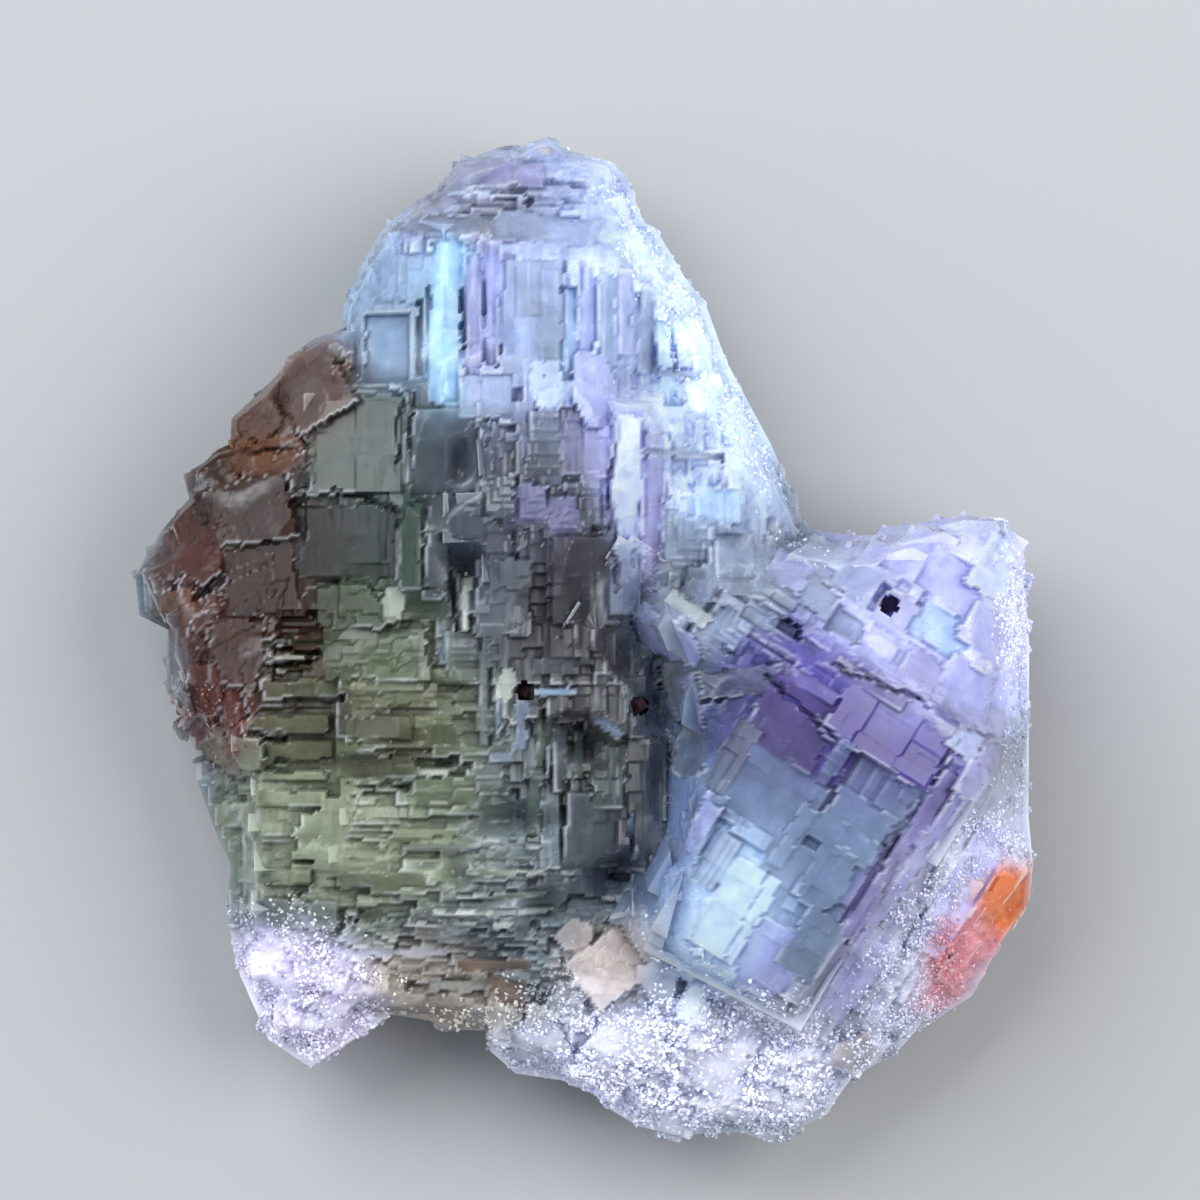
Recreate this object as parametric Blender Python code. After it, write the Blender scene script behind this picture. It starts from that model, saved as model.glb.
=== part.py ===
"""A fluorite specimen: stepped cubes grown together, lying on its broken back with its front face up.

Sizes are in millimetres. X runs to the right and Y towards the tip of the spire, both from the lower
left corner of the specimen's outline. Z is the height above the surface that the specimen lies on.
The last step moves the origin to the middle of that outline and makes the sizes metres.
"""

import math
import random
from dataclasses import dataclass

import bmesh
import bpy
from mathutils import Matrix, Vector
from mathutils.bvhtree import BVHTree

MM = 0.001
SEED = 29
WIDTH = 67.1
LENGTH = 75.1
TOP = 33.0
LOOSE_ANGLE = 1.6  # degrees by which neighbouring blocks of one crystal lean apart
SOLVER = "MANIFOLD"  # the exact one leaves open slivers where this many blocks meet

# The outline at the specimen's widest height, anticlockwise from the tip of the spire.
OUTLINE = {
    "spire_left": [
        (32.3, 74.0), (30.9, 75.1), (28.9, 74.2), (27.1, 74.2), (24.1, 73.1), (22.5, 71.1),
        (20.9, 70.1), (18.5, 68.1), (16.7, 64.9), (15.6, 62.2), (15.5, 60.6),
    ],
    "rim": [
        (13.6, 60.0), (11.5, 58.6), (10.7, 57.2), (7.3, 54.0), (7.2, 51.8), (6.0, 51.4),
        (4.0, 49.7), (4.1, 48.0), (2.0, 45.6), (0.0, 42.4), (0.2, 39.3), (2.4, 38.2),
        (2.2, 35.7), (2.3, 33.4), (3.5, 31.7), (3.1, 30.9), (4.6, 28.8),
    ],
    "ledges": [
        (4.7, 27.0), (6.0, 23.2), (7.1, 20.8), (6.8, 16.8), (7.8, 12.2), (10.0, 7.5),
        (13.1, 5.6), (16.5, 7.5), (19.1, 9.5),
    ],
    "foot": [
        (21.9, 9.1), (23.5, 8.4), (26.3, 8.2), (26.6, 6.6), (28.5, 4.9), (31.9, 4.4),
        (34.5, 3.5), (35.4, 2.4), (37.6, 1.1), (40.4, 0.5), (45.3, 0.7), (47.3, 0.0),
        (48.9, 0.1), (49.5, 0.8), (51.6, 1.9), (53.6, 4.7), (57.0, 6.6), (58.3, 8.1),
        (62.6, 10.8),
    ],
    "right": [
        (64.8, 15.0), (66.9, 18.0), (67.1, 20.7), (66.8, 24.3), (67.0, 36.9), (66.4, 44.3),
        (64.9, 46.4), (62.9, 46.7), (61.3, 46.7), (57.0, 45.9), (55.9, 46.0), (55.4, 45.3),
        (53.7, 45.3), (50.7, 45.7),
    ],
    "spire_right": [
        (50.0, 46.3), (49.1, 48.7), (47.6, 52.1), (44.2, 58.4), (42.7, 62.6), (41.1, 64.7),
        (40.2, 66.3), (38.9, 68.4), (38.1, 68.7), (36.7, 72.2), (35.6, 73.2),
    ],
}
SPINE_TOP = (30.0, 62.0)
SPINE_FOOT = (38.0, 13.0)
NORMAL_REACH = 3  # corners on either side that settle which way a corner faces

# Heights of the front face, as (x, y, height), between which it falls off smoothly.
RELIEF = {
    "spire": [
        (31, 72, 14), (24, 70, 13), (36, 69, 14), (27, 65, 19), (33, 63, 22), (30, 57, 26),
        (19, 62, 16), (20, 56, 20), (41, 60, 15), (44, 53, 16), (38, 57, 21), (48, 47, 14),
        (42, 48, 22), (37, 50, 25),
    ],
    "body": [(16, 50, 20), (24, 48, 25), (30, 46, 26), (12, 44, 17), (35, 42, 25)],
    "rim": [(13, 56, 15), (8, 51, 13), (3, 42, 12), (8, 40, 15), (5, 33, 13)],
    "ledges": [
        (12, 34, 19), (20, 32, 23), (28, 30, 24), (10, 26, 16), (8, 20, 13), (18, 24, 20),
        (25, 20, 21), (12, 14, 13), (14, 8, 12), (20, 12, 14), (29, 24, 22),
    ],
    "middle": [(33, 34, 24), (33, 24, 21), (37, 28, 19), (38, 20, 18), (42, 39, 26), (36, 14, 17)],
    "cube": [(46, 36, 28), (51, 35, 28), (49, 22, 25), (46, 11, 18), (61, 30, 22), (56, 18, 20)],
    "shingles": [(54, 42, 22), (60, 42, 19), (64, 44, 14), (65, 33, 14), (60, 36, 21)],
    "right_band": [(64, 22, 13), (60, 13, 12), (55, 8, 12)],
    "foot": [(30, 8, 13), (40, 9, 16), (40, 4, 12), (47, 5, 12), (49, 2, 11), (23, 10, 12)],
}
RELIEF_POWER = 3.2

# Terraces of the solid heart, and the taper that everything is trimmed to, as (height, inset).
HEART = [
    (-0.6, 8.2), (2.4, 6.4), (4.8, 3.4), (5.2, -2.2), (8.4, -2.2), (9.4, 1.4), (13.6, 4.8),
    (20.5, 12.0),
]
ENVELOPE = [
    (0.0, 6.0), (3.4, 2.6), (6.4, 0.0), (9.2, 0.0), (16.0, 1.2), (24.0, 4.8), (TOP, 13.0),
]
HEART_STRIDE = 2
HEART_COVER = 2.6  # how far the heart stays under the front face
GIRDLE = 9.4  # the height up to which the outline is at its widest
FARTHEST_INSET = 0.86
TERRACE_JITTER = 0.18
TERRACE_WAVE = 1.5


@dataclass(frozen=True)
class Lattice:
    """How one crystal is turned: about Y, then about X, then in the plane of the face, in degrees."""

    roll: float
    nod: float
    turn: float

    def matrix(self, loose=(0.0, 0.0, 0.0)):
        return (
            Matrix.Rotation(math.radians(self.turn + loose[2]), 3, "Z")
            @ Matrix.Rotation(math.radians(self.nod + loose[1]), 3, "X")
            @ Matrix.Rotation(math.radians(self.roll + loose[0]), 3, "Y")
        )


SPIRE = Lattice(roll=40, nod=11, turn=-1)
FLANK = Lattice(roll=34, nod=14, turn=8)
BODY = Lattice(roll=-9, nod=-8, turn=1)
LEDGE = Lattice(roll=-8, nod=-24, turn=2)
CUBE = Lattice(roll=10, nod=13, turn=-30)
SHINGLE = Lattice(roll=-14, nod=-12, turn=-31)
RIM = Lattice(roll=-32, nod=8, turn=24)
BAND = Lattice(roll=30, nod=26, turn=-36)

FRONT = (0.0, 0.0, 0.5)
FRONT_LEFT = (-0.5, 0.0, 0.5)
FRONT_LOW = (0.0, -0.5, 0.5)
MIDDLE = (0.0, 0.0, 0.0)

# Blocks set one by one: (x, y, lift above the front face, width, height, depth).
SPIRE_COLUMNS = [
    (19.4, 62.0, 0.6, 4.6, 11.0, 9), (17.6, 60.4, -0.6, 3.0, 9.0, 8), (21.4, 60.4, 0.9, 2.2, 9.6, 8),
    (23.2, 61.8, 1.2, 2.0, 12.4, 8), (25.4, 61.6, 0.6, 1.6, 11.6, 8), (27.2, 61.2, 0.5, 1.8, 10.6, 8),
    (30.0, 60.6, 1.5, 3.6, 9.6, 9), (33.2, 60.8, 0.9, 2.2, 9.2, 9), (35.4, 60.6, 0.6, 1.8, 8.4, 9),
    (37.4, 61.0, 0.6, 2.4, 7.0, 9), (39.8, 60.2, 0.8, 2.8, 6.6, 9), (41.4, 57.8, 0.4, 2.2, 6.2, 8),
    (22.2, 54.2, 0.5, 2.4, 5.6, 8), (26.2, 54.6, 0.8, 3.0, 5.2, 8), (30.6, 54.0, 0.6, 2.6, 5.6, 9),
    (33.8, 54.4, 0.8, 2.0, 6.2, 9), (36.6, 48.0, 1.3, 2.2, 13.2, 9), (38.6, 47.4, 0.4, 2.0, 11.6, 9),
    (40.6, 52.6, 0.9, 3.4, 5.2, 9), (43.4, 52.2, 0.6, 2.8, 5.8, 9), (45.6, 50.2, 0.4, 2.4, 6.0, 8),
    (41.0, 45.0, 0.9, 3.0, 5.8, 9), (44.0, 45.4, 0.6, 3.2, 6.0, 9), (47.4, 47.2, 0.6, 2.6, 5.0, 8),
    (34.6, 47.0, 0.3, 1.8, 6.0, 8), (28.4, 65.4, 0.3, 2.4, 4.4, 7), (33.0, 66.2, 0.3, 2.6, 4.2, 7),
]
CAP_TIERS = [
    (25.6, 68.4, 0.8, 9.6, 3.2, 9), (28.8, 71.0, 0.6, 9.0, 3.8, 9), (23.0, 67.6, 0.4, 5.0, 3.0, 8),
    (31.0, 69.0, 0.4, 5.2, 3.4, 8), (35.2, 67.6, 0.6, 4.4, 4.6, 8), (34.0, 71.4, 0.3, 4.0, 3.0, 7),
    (30.4, 73.0, 0.2, 4.6, 2.2, 6), (38.0, 65.2, 0.6, 3.4, 4.2, 8),
]
BODY_PLATES = [
    (16.4, 52.4, 0.9, 6.8, 6.6, 9), (15.4, 43.4, 0.8, 8.6, 6.4, 9), (22.4, 52.2, 0.6, 2.6, 5.8, 9),
    (21.4, 44.2, 0.9, 2.2, 6.2, 9), (22.8, 42.0, 0.4, 1.9, 2.8, 8), (26.2, 55.2, 0.6, 4.6, 4.2, 9),
    (18.6, 48.0, 0.3, 5.4, 3.4, 9), (12.6, 47.8, 0.5, 4.6, 4.2, 8), (19.0, 39.6, 0.6, 3.4, 2.4, 8),
    (24.8, 38.6, 0.5, 2.4, 3.6, 9), (28.4, 49.0, 0.7, 4.2, 5.0, 9), (31.6, 45.6, 0.7, 3.8, 4.4, 9),
    (28.0, 43.6, 0.5, 3.6, 3.6, 9), (33.2, 50.6, 0.5, 3.0, 3.4, 9), (27.4, 39.4, 0.4, 4.0, 4.2, 9),
    (32.4, 40.2, 0.6, 4.2, 4.4, 9), (24.8, 46.4, 0.8, 2.8, 3.6, 9),
]
LEDGES = [
    (18.4, 35.0, 0.7, 7.2, 3.0, 8), (19.3, 33.2, 0.5, 5.4, 1.2, 8), (13.0, 36.2, 0.4, 5.2, 1.8, 7),
    (12.2, 34.0, 0.6, 4.6, 1.2, 7), (12.8, 31.6, 0.4, 6.4, 1.3, 7), (19.2, 30.4, 0.5, 6.0, 1.8, 8),
    (12.0, 29.2, 0.6, 5.8, 1.5, 7), (8.9, 29.4, 0.9, 2.6, 4.2, 6), (19.4, 27.4, 0.3, 5.8, 1.8, 8),
    (23.4, 25.6, 0.8, 4.4, 2.8, 8), (12.4, 26.4, 0.5, 6.8, 1.4, 7), (18.2, 24.2, 0.6, 5.0, 1.3, 7),
    (22.2, 22.8, 0.4, 4.6, 1.2, 7), (11.8, 23.6, 0.4, 6.0, 1.4, 6), (17.6, 21.4, 0.6, 5.4, 1.3, 7),
    (21.6, 20.2, 0.6, 3.4, 1.2, 7), (12.0, 20.6, 0.6, 5.6, 1.6, 6), (28.0, 21.0, 0.8, 5.6, 2.4, 8),
    (17.0, 18.6, 0.4, 5.8, 1.4, 6), (11.6, 17.6, 0.4, 5.4, 1.6, 6), (25.8, 17.2, 0.7, 5.8, 2.4, 8),
    (20.4, 16.4, 0.6, 5.0, 1.5, 6), (14.8, 15.0, 0.6, 6.6, 1.6, 6), (11.2, 12.8, 0.5, 4.6, 1.8, 5),
    (21.4, 13.4, 0.7, 6.6, 1.4, 6), (16.4, 11.6, 0.6, 5.0, 1.7, 5), (22.6, 10.6, 0.6, 6.4, 1.5, 5),
    (12.8, 9.0, 0.6, 4.4, 1.8, 4), (32.6, 16.4, 0.6, 3.0, 1.3, 7), (27.8, 14.0, 0.6, 5.2, 1.8, 6),
    (8.6, 33.6, 0.8, 1.8, 5.0, 6), (6.6, 31.6, 0.6, 2.2, 3.4, 5),
]
MIDDLE_PRISMS = [
    (25.8, 33.6, 0.9, 1.7, 7.8, 9), (27.8, 33.0, 1.2, 1.9, 8.4, 9), (29.8, 33.4, 0.8, 1.7, 7.2, 9),
    (31.8, 34.6, 0.9, 2.2, 6.4, 9), (34.2, 35.0, 0.7, 2.2, 5.6, 9), (27.0, 27.4, 0.5, 2.4, 3.8, 8),
    (30.4, 27.2, 0.7, 2.6, 5.0, 8), (34.2, 24.8, 0.9, 3.4, 7.2, 8), (37.9, 25.6, 1.2, 3.4, 9.2, 9),
    (36.4, 32.4, 0.8, 2.2, 4.6, 9), (32.0, 21.0, 0.6, 3.0, 3.6, 7), (35.8, 17.2, 0.8, 3.4, 3.4, 7),
]
# The large cube's face: its middle, and steps on it as (left, right, low, high, rise) from that middle.
CUBE_FACE = (49.8, 22.6, 25.2)
CUBE_DEPTH = 15.0
CUBE_STEPS = [
    (-6.6, 6.6, -12.6, 12.8, 0.0), (-6.8, 5.1, -11.7, 11.4, 0.55), (-6.9, 4.0, -8.6, 4.8, 1.1),
    (-7.4, -3.2, -4.4, 9.6, 1.6), (-7.2, -1.7, -10.6, -3.4, 1.45), (0.2, 3.6, -3.9, 1.5, 1.5),
    (-5.0, 1.2, 8.0, 12.0, 1.0), (5.6, 9.2, 3.0, 12.2, -0.5), (6.2, 8.2, -6.0, 5.0, -1.2),
    (-9.4, -6.0, -1.0, 8.6, 0.9), (-8.6, -6.2, -8.4, 0.6, 0.2), (-4.6, 3.4, 12.0, 14.2, -0.4),
]
UPPER_TIERS = [
    (41.0, 37.4, 0.9, 4.6, 2.4, 9), (45.4, 35.8, 0.9, 6.4, 2.2, 9), (42.2, 33.2, 0.9, 2.6, 4.6, 9),
    (44.6, 39.6, 0.6, 5.0, 3.0, 9), (48.2, 38.8, 0.5, 4.6, 3.6, 9), (61.8, 28.0, 0.9, 4.4, 5.2, 8),
]
RIM_LUMPS = [
    (14.2, 56.4, 0.6, 6.6, 6.2, 8), (9.2, 53.8, 0.6, 3.8, 4.2, 7), (7.4, 49.4, 0.5, 5.2, 4.6, 7),
    (5.0, 46.0, 0.4, 4.4, 4.6, 6), (9.6, 45.4, 0.6, 4.8, 5.2, 7), (3.2, 41.2, 0.5, 4.2, 4.2, 6),
    (7.6, 41.4, 0.5, 4.4, 4.0, 7), (5.0, 36.8, 0.6, 4.2, 4.0, 6), (9.2, 38.2, 0.4, 4.2, 3.4, 7),
    (12.0, 40.4, 0.3, 4.0, 3.2, 7), (5.6, 34.0, 0.6, 3.6, 3.6, 5), (11.6, 51.0, 0.4, 4.0, 4.2, 7),
]
BAND_BLOCKS = [
    (62.6, 24.6, 0.5, 4.6, 5.4, 7), (59.6, 18.4, 0.5, 4.8, 5.2, 6), (63.6, 19.2, 0.5, 4.0, 4.8, 5),
    (56.2, 13.2, 0.5, 4.8, 5.0, 6), (60.4, 14.0, 0.4, 4.0, 4.2, 5), (52.4, 9.2, 0.5, 4.4, 4.2, 5),
    (53.8, 6.6, 0.6, 3.4, 3.4, 4), (57.2, 9.6, 0.3, 3.6, 3.6, 4),
]
FOOT_BLOCKS = [
    (29.4, 8.6, 0.6, 4.2, 3.6, 6), (33.4, 8.0, 0.6, 4.4, 4.0, 6), (37.6, 7.2, 0.6, 4.6, 4.2, 6),
    (42.0, 7.6, 0.6, 4.4, 4.6, 6), (46.4, 6.8, 0.6, 4.2, 4.2, 6), (40.2, 3.4, 0.4, 4.2, 3.4, 5),
    (45.2, 3.0, 0.4, 4.0, 3.2, 5), (36.0, 11.6, 0.5, 5.0, 4.6, 6), (31.6, 12.6, 0.5, 4.4, 3.6, 6),
    (49.6, 5.0, 0.4, 3.6, 3.6, 4), (35.0, 4.8, 0.4, 3.8, 3.0, 5), (48.8, 2.2, 0.3, 2.8, 2.4, 4),
]

SHINGLE_ROWS = 5
SHINGLE_COLUMNS = 5
SHINGLE_CORNER = (50.6, 42.8)
SHINGLE_PITCH = (3.15, 3.0)
SHINGLE_SIZE = (3.7, 3.5, 8.0)

# Narrow clefts cut from the front, as (x, y, width, length, depth, turn).
CLEFTS = [
    (37.6, 42.2, 0.9, 6.0, 5.5, 4), (39.6, 36.0, 1.0, 4.8, 6.0, 22), (40.0, 30.6, 1.1, 6.8, 7.0, -8),
    (40.0, 24.6, 1.1, 6.6, 7.0, 8), (40.4, 18.2, 1.0, 6.6, 6.5, -14), (35.6, 19.4, 0.8, 4.4, 4.0, 30),
    (16.0, 36.9, 4.6, 0.5, 2.6, 2), (14.0, 33.0, 4.4, 0.45, 2.4, 3), (50.4, 37.0, 8.0, 0.7, 3.4, -27),
    (57.8, 32.9, 6.4, 0.6, 2.8, -29), (30.8, 37.9, 6.4, 0.6, 3.0, 2), (24.2, 49.6, 0.6, 6.0, 3.0, 3),
]
# Steps broken out of the back, as (x, y, width, length, depth, turn).
BACK_BREAKS = [
    (14.0, 20.0, 18.0, 15.0, 2.2, 3), (51.0, 38.5, 22.0, 11.0, 2.8, -30), (27.0, 66.0, 18.0, 9.0, 3.4, 2),
    (12.0, 46.0, 13.0, 12.0, 3.0, 5), (56.0, 18.0, 11.0, 17.0, 2.6, -30), (40.0, 9.0, 20.0, 7.0, 2.0, -8),
    (41.0, 57.0, 9.0, 15.0, 2.4, 12), (22.0, 11.0, 10.0, 8.0, 1.6, 0), (19.0, 33.5, 12.0, 6.0, 1.2, 2),
    (47.0, 24.0, 9.0, 7.0, 1.1, -30), (26.0, 54.0, 9.0, 8.0, 1.3, 3),
]
BACK_BLOCKS = 9
BACK_HEIGHTS = (3.0, 6.5)
BACK_SIZES = (4.0, 8.5)

# Grains, as (x, y, size across, turn).
GRAINS = [(55.8, 40.1, 1.10, 12.0), (37.6, 32.7, 0.80, 35.0), (29.4, 33.8, 0.75, -20.0)]
GRAIN_GAP = 0.32
GRAIN_SINK = 0.18

# Scatter of small blocks over an area: (corner points, how many, smallest, largest, tallest share).
SCATTERS = {
    "spire_edge": ([(33.0, 73.2), (38.5, 68.0), (49.2, 47.0), (44.6, 46.6), (37.6, 62.0), (31.0, 70.4)],
                   FLANK, 8, 1.8, 3.4, 1.2),
    "scales": ([(25.0, 52.6), (33.0, 53.4), (34.0, 38.6), (25.0, 39.0)], BODY, 4, 1.8, 2.8, 1.3),
    "rim": ([(10.6, 58.0), (14.4, 50.0), (8.4, 31.0), (3.6, 31.0), (0.8, 40.4), (6.0, 50.6)],
            RIM, 5, 1.8, 3.2, 1.0),
    "tip": ([(8.6, 16.0), (20.6, 14.6), (17.0, 8.8), (13.4, 6.6), (10.4, 8.8)], LEDGE, 2, 1.6, 2.8, 1.0),
    "foot": ([(28.0, 10.0), (36.0, 13.4), (48.6, 10.0), (52.0, 4.0), (48.0, 1.4), (35.0, 3.6)],
             BAND, 6, 1.8, 3.2, 1.0),
    "band": ([(61.2, 31.0), (65.6, 34.0), (65.6, 19.0), (61.0, 12.4), (53.4, 6.4), (52.0, 9.6)],
             BAND, 6, 1.8, 3.2, 1.0),
}


def clear_scene():
    for thing in list(bpy.data.objects):
        bpy.data.objects.remove(thing, do_unlink=True)


def new_collection(name):
    collection = bpy.data.collections.new(name)
    bpy.context.scene.collection.children.link(collection)
    return collection


def material(name, colour, roughness, metallic=0.0):
    finish = bpy.data.materials.new(name)
    finish.use_nodes = True
    shader = finish.node_tree.nodes["Principled BSDF"]
    shader.inputs["Base Color"].default_value = (*colour, 1.0)
    shader.inputs["Roughness"].default_value = roughness
    shader.inputs["Metallic"].default_value = metallic
    finish.diffuse_color = (*colour, 1.0)
    return finish


def add_object(name, mesh_builder, collection):
    """A new object from a bmesh."""
    mesh = bpy.data.meshes.new(name)
    mesh_builder.to_mesh(mesh)
    mesh_builder.free()
    thing = bpy.data.objects.new(name, mesh)
    collection.objects.link(thing)
    return thing


def outline_points(stride=1):
    """The outline's corners, or only every second or third of them."""
    return [Vector(point) for side in OUTLINE.values() for point in side][::stride]


def front_height(x, y):
    """The height of the front face, drawn together from the relief's named heights."""
    total = 0.0
    weights = 0.0
    for heights in RELIEF.values():
        for known_x, known_y, height in heights:
            distance = math.hypot(x - known_x, y - known_y)
            weight = 1.0 / (distance + 0.5) ** RELIEF_POWER
            total += weight * height
            weights += weight
    return total / weights


def inside(point, corners):
    """Whether a plan point lies inside a closed outline."""
    hit = False
    previous = corners[-1]
    for corner in corners:
        crosses = (corner[1] > point[1]) != (previous[1] > point[1])
        if crosses:
            reach = (previous[0] - corner[0]) * (point[1] - corner[1]) / (previous[1] - corner[1])
            if point[0] < corner[0] + reach:
                hit = not hit
        previous = corner
    return hit


def spine_point(y):
    """The point of the specimen's middle line that is level with y."""
    share = (y - SPINE_FOOT[1]) / (SPINE_TOP[1] - SPINE_FOOT[1])
    return Vector(SPINE_FOOT).lerp(Vector(SPINE_TOP), min(max(share, 0.0), 1.0))


def drawn_in(corners, index, inset):
    """One corner moved inwards: half towards the middle line, half square to the outline."""
    corner = corners[index]
    inward = spine_point(corner.y) - corner
    along = corners[(index + NORMAL_REACH) % len(corners)] - corners[index - NORMAL_REACH]
    square = Vector((-along.y, along.x)).normalized()
    direction = (inward.normalized() + square).normalized()
    return corner + direction * min(inset, FARTHEST_INSET * inward.length)


def ring(corners, height, inset, cover, jitter):
    """The outline drawn in at one height."""
    points = []
    for index, corner in enumerate(corners):
        share = 1.0 + jitter * math.sin(0.31 * corner.x + 0.27 * corner.y)
        place = drawn_in(corners, index, inset * share)
        level = height
        if cover is not None and height > GIRDLE:
            room = front_height(*corner.lerp(spine_point(corner.y), 0.4)) - cover - GIRDLE
            level = GIRDLE + (height - GIRDLE) * min(max(room / (HEART[-1][0] - GIRDLE), 0.05), 1.0)
        if 0 < height < TOP:
            level += TERRACE_WAVE * math.sin(0.19 * corner.x - 0.23 * corner.y)
        points.append((place.x, place.y, level))
    return points


def loft(name, corners, steps, collection, cover=None, jitter=0.0):
    """A closed solid through rings of the outline."""
    builder = bmesh.new()
    rings = []
    for height, inset in steps:
        points = ring(corners, height, inset, cover, jitter)
        rings.append([builder.verts.new(point) for point in points])
    for low, high in zip(rings, rings[1:]):
        for index in range(len(low)):
            following = (index + 1) % len(low)
            builder.faces.new((low[index], low[following], high[following], high[index]))
    builder.faces.new(list(reversed(rings[0])))
    builder.faces.new(rings[-1])
    bmesh.ops.triangulate(builder, faces=builder.faces[:])
    return add_object(name, builder, collection)


class Blocks:
    """The blocks that are grown on, or cut from, the specimen."""

    def __init__(self, name):
        self.collection = new_collection(name)
        self.dice = random.Random(f"{SEED} {name}")

    def add(self, place, size, lattice, anchor=MIDDLE, loose=LOOSE_ANGLE):
        """Adds one block whose anchor, in shares of its size, lies at the place."""
        lean = [self.dice.uniform(-loose, loose) for _ in range(3)]
        turned = lattice.matrix(lean)
        offset = Vector([share * side for share, side in zip(anchor, size)])
        centre = Vector(place) - turned @ offset
        shape = turned.to_4x4() @ Matrix.Diagonal((*size, 1.0))
        builder = bmesh.new()
        bmesh.ops.create_cube(builder, size=1.0, matrix=Matrix.Translation(centre) @ shape)
        block = add_object(f"{self.collection.name}_block", builder, self.collection)
        block.hide_render = True
        block.display_type = "WIRE"

    def add_on_front(self, rows, lattice, anchor):
        for x, y, lift, width, height, depth in rows:
            self.add((x, y, front_height(x, y) + lift), (width, height, depth), lattice, anchor)

    def scatter(self, corners, lattice, count, smallest, largest, lift):
        """Small blocks strewn over an area of the front face, in its crystal's directions."""
        xs = [corner[0] for corner in corners]
        ys = [corner[1] for corner in corners]
        placed = 0
        while placed < count:
            x = self.dice.uniform(min(xs), max(xs))
            y = self.dice.uniform(min(ys), max(ys))
            if not inside((x, y), corners):
                continue
            width = self.dice.uniform(smallest, largest)
            height = width * self.dice.uniform(0.7, 1.5)
            rise = self.dice.uniform(0.2, lift)
            place = (x, y, front_height(x, y) + rise)
            self.add(place, (width, height, 4.0 + width), lattice, FRONT, loose=4.0)
            placed += 1

    def remove(self):
        for block in list(self.collection.objects):
            bpy.data.objects.remove(block, do_unlink=True)
        bpy.data.collections.remove(self.collection)


def grow_cube(growth):
    """The large cube, and the low steps that grow on its face."""
    turned = CUBE.matrix()
    for left, right, low, high, rise in CUBE_STEPS:
        middle = Vector(((left + right) / 2, (low + high) / 2, rise))
        place = Vector(CUBE_FACE) + turned @ middle
        growth.add(place, (right - left, high - low, CUBE_DEPTH), CUBE, FRONT, loose=0.25)


def grow_shingles(growth):
    """Rows of overlapping small plates on the block at the upper right."""
    along = Vector((math.cos(math.radians(SHINGLE.turn)), math.sin(math.radians(SHINGLE.turn))))
    across = Vector((-along.y, along.x))
    corner = Vector(SHINGLE_CORNER)
    outline = outline_points()
    for row in range(-1, SHINGLE_ROWS):
        for column in range(SHINGLE_COLUMNS + 1):
            shift = 0.5 * (row % 2)
            place = corner + along * SHINGLE_PITCH[0] * (column + shift) + across * SHINGLE_PITCH[1] * row
            place += Vector((growth.dice.uniform(-0.5, 0.5), growth.dice.uniform(-0.5, 0.5)))
            if not inside(place, outline) or place.y < 36.8 - 0.5 * (place.x - 51.0):
                continue
            lift = growth.dice.uniform(0.3, 1.2)
            size = [side * growth.dice.uniform(0.8, 1.2) for side in SHINGLE_SIZE]
            growth.add((*place, front_height(*place) + lift), size, SHINGLE, FRONT, loose=3.0)


def grow_back(growth):
    """Blocks standing out between the heart's terraces, all round the sides and the back."""
    outline = outline_points()
    for index in range(BACK_BLOCKS):
        corner = outline[(index * 3 + 1) % len(outline)]
        middle = spine_point(corner.y)
        inward = (middle - corner).normalized()
        place = corner + inward * growth.dice.uniform(2.5, 5.0)
        height = growth.dice.uniform(*BACK_HEIGHTS)
        size = [growth.dice.uniform(*BACK_SIZES) for _ in range(3)]
        lattice = CUBE if corner.x > 40 and corner.y < 46 else BODY
        growth.add((place.x, place.y, height), size, lattice)


def grow_front(growth):
    growth.add_on_front(SPIRE_COLUMNS, SPIRE, FRONT_LEFT)
    growth.add_on_front(CAP_TIERS, FLANK, FRONT)
    growth.add_on_front(BODY_PLATES, BODY, FRONT)
    growth.add_on_front(LEDGES, LEDGE, FRONT_LOW)
    growth.add_on_front(MIDDLE_PRISMS, SPIRE, FRONT_LEFT)
    grow_cube(growth)
    growth.add_on_front(UPPER_TIERS, CUBE, FRONT)
    growth.add_on_front(RIM_LUMPS, RIM, FRONT)
    growth.add_on_front(BAND_BLOCKS, BAND, FRONT)
    growth.add_on_front(FOOT_BLOCKS, BAND, FRONT)
    grow_shingles(growth)
    for area in SCATTERS.values():
        growth.scatter(*area)


def cut_clefts(cuts):
    for x, y, width, length, depth, turn in CLEFTS:
        place = (x, y, front_height(x, y) + 4.0)
        cuts.add(place, (width, length, 2 * (depth + 4.0)), Lattice(4.0, 5.0, turn))
    for x, y, width, length, depth, turn in BACK_BREAKS:
        cuts.add((x, y, 0.0), (width, length, 2 * depth), Lattice(3.0, -3.0, turn))


def combine(target, blocks, operation):
    """Joins, cuts or trims the target with all blocks of a collection."""
    modifier = target.modifiers.new(operation.lower(), "BOOLEAN")
    modifier.operation = operation
    modifier.solver = SOLVER
    modifier.operand_type = "COLLECTION"
    modifier.collection = blocks.collection
    bpy.context.view_layer.update()
    whole = bpy.data.meshes.new_from_object(target.evaluated_get(bpy.context.evaluated_depsgraph_get()))
    target.modifiers.remove(modifier)
    target.data = whole
    blocks.remove()


def shell_volume(faces):
    """The volume that a closed set of faces holds, negative for a hollow."""
    volume = 0.0
    for face in faces:
        first = face.loops[0].vert.co
        corners = [loop.vert.co for loop in face.loops]
        for second, third in zip(corners[1:], corners[2:]):
            volume += first.dot(second.cross(third)) / 6.0
    return volume


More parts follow.
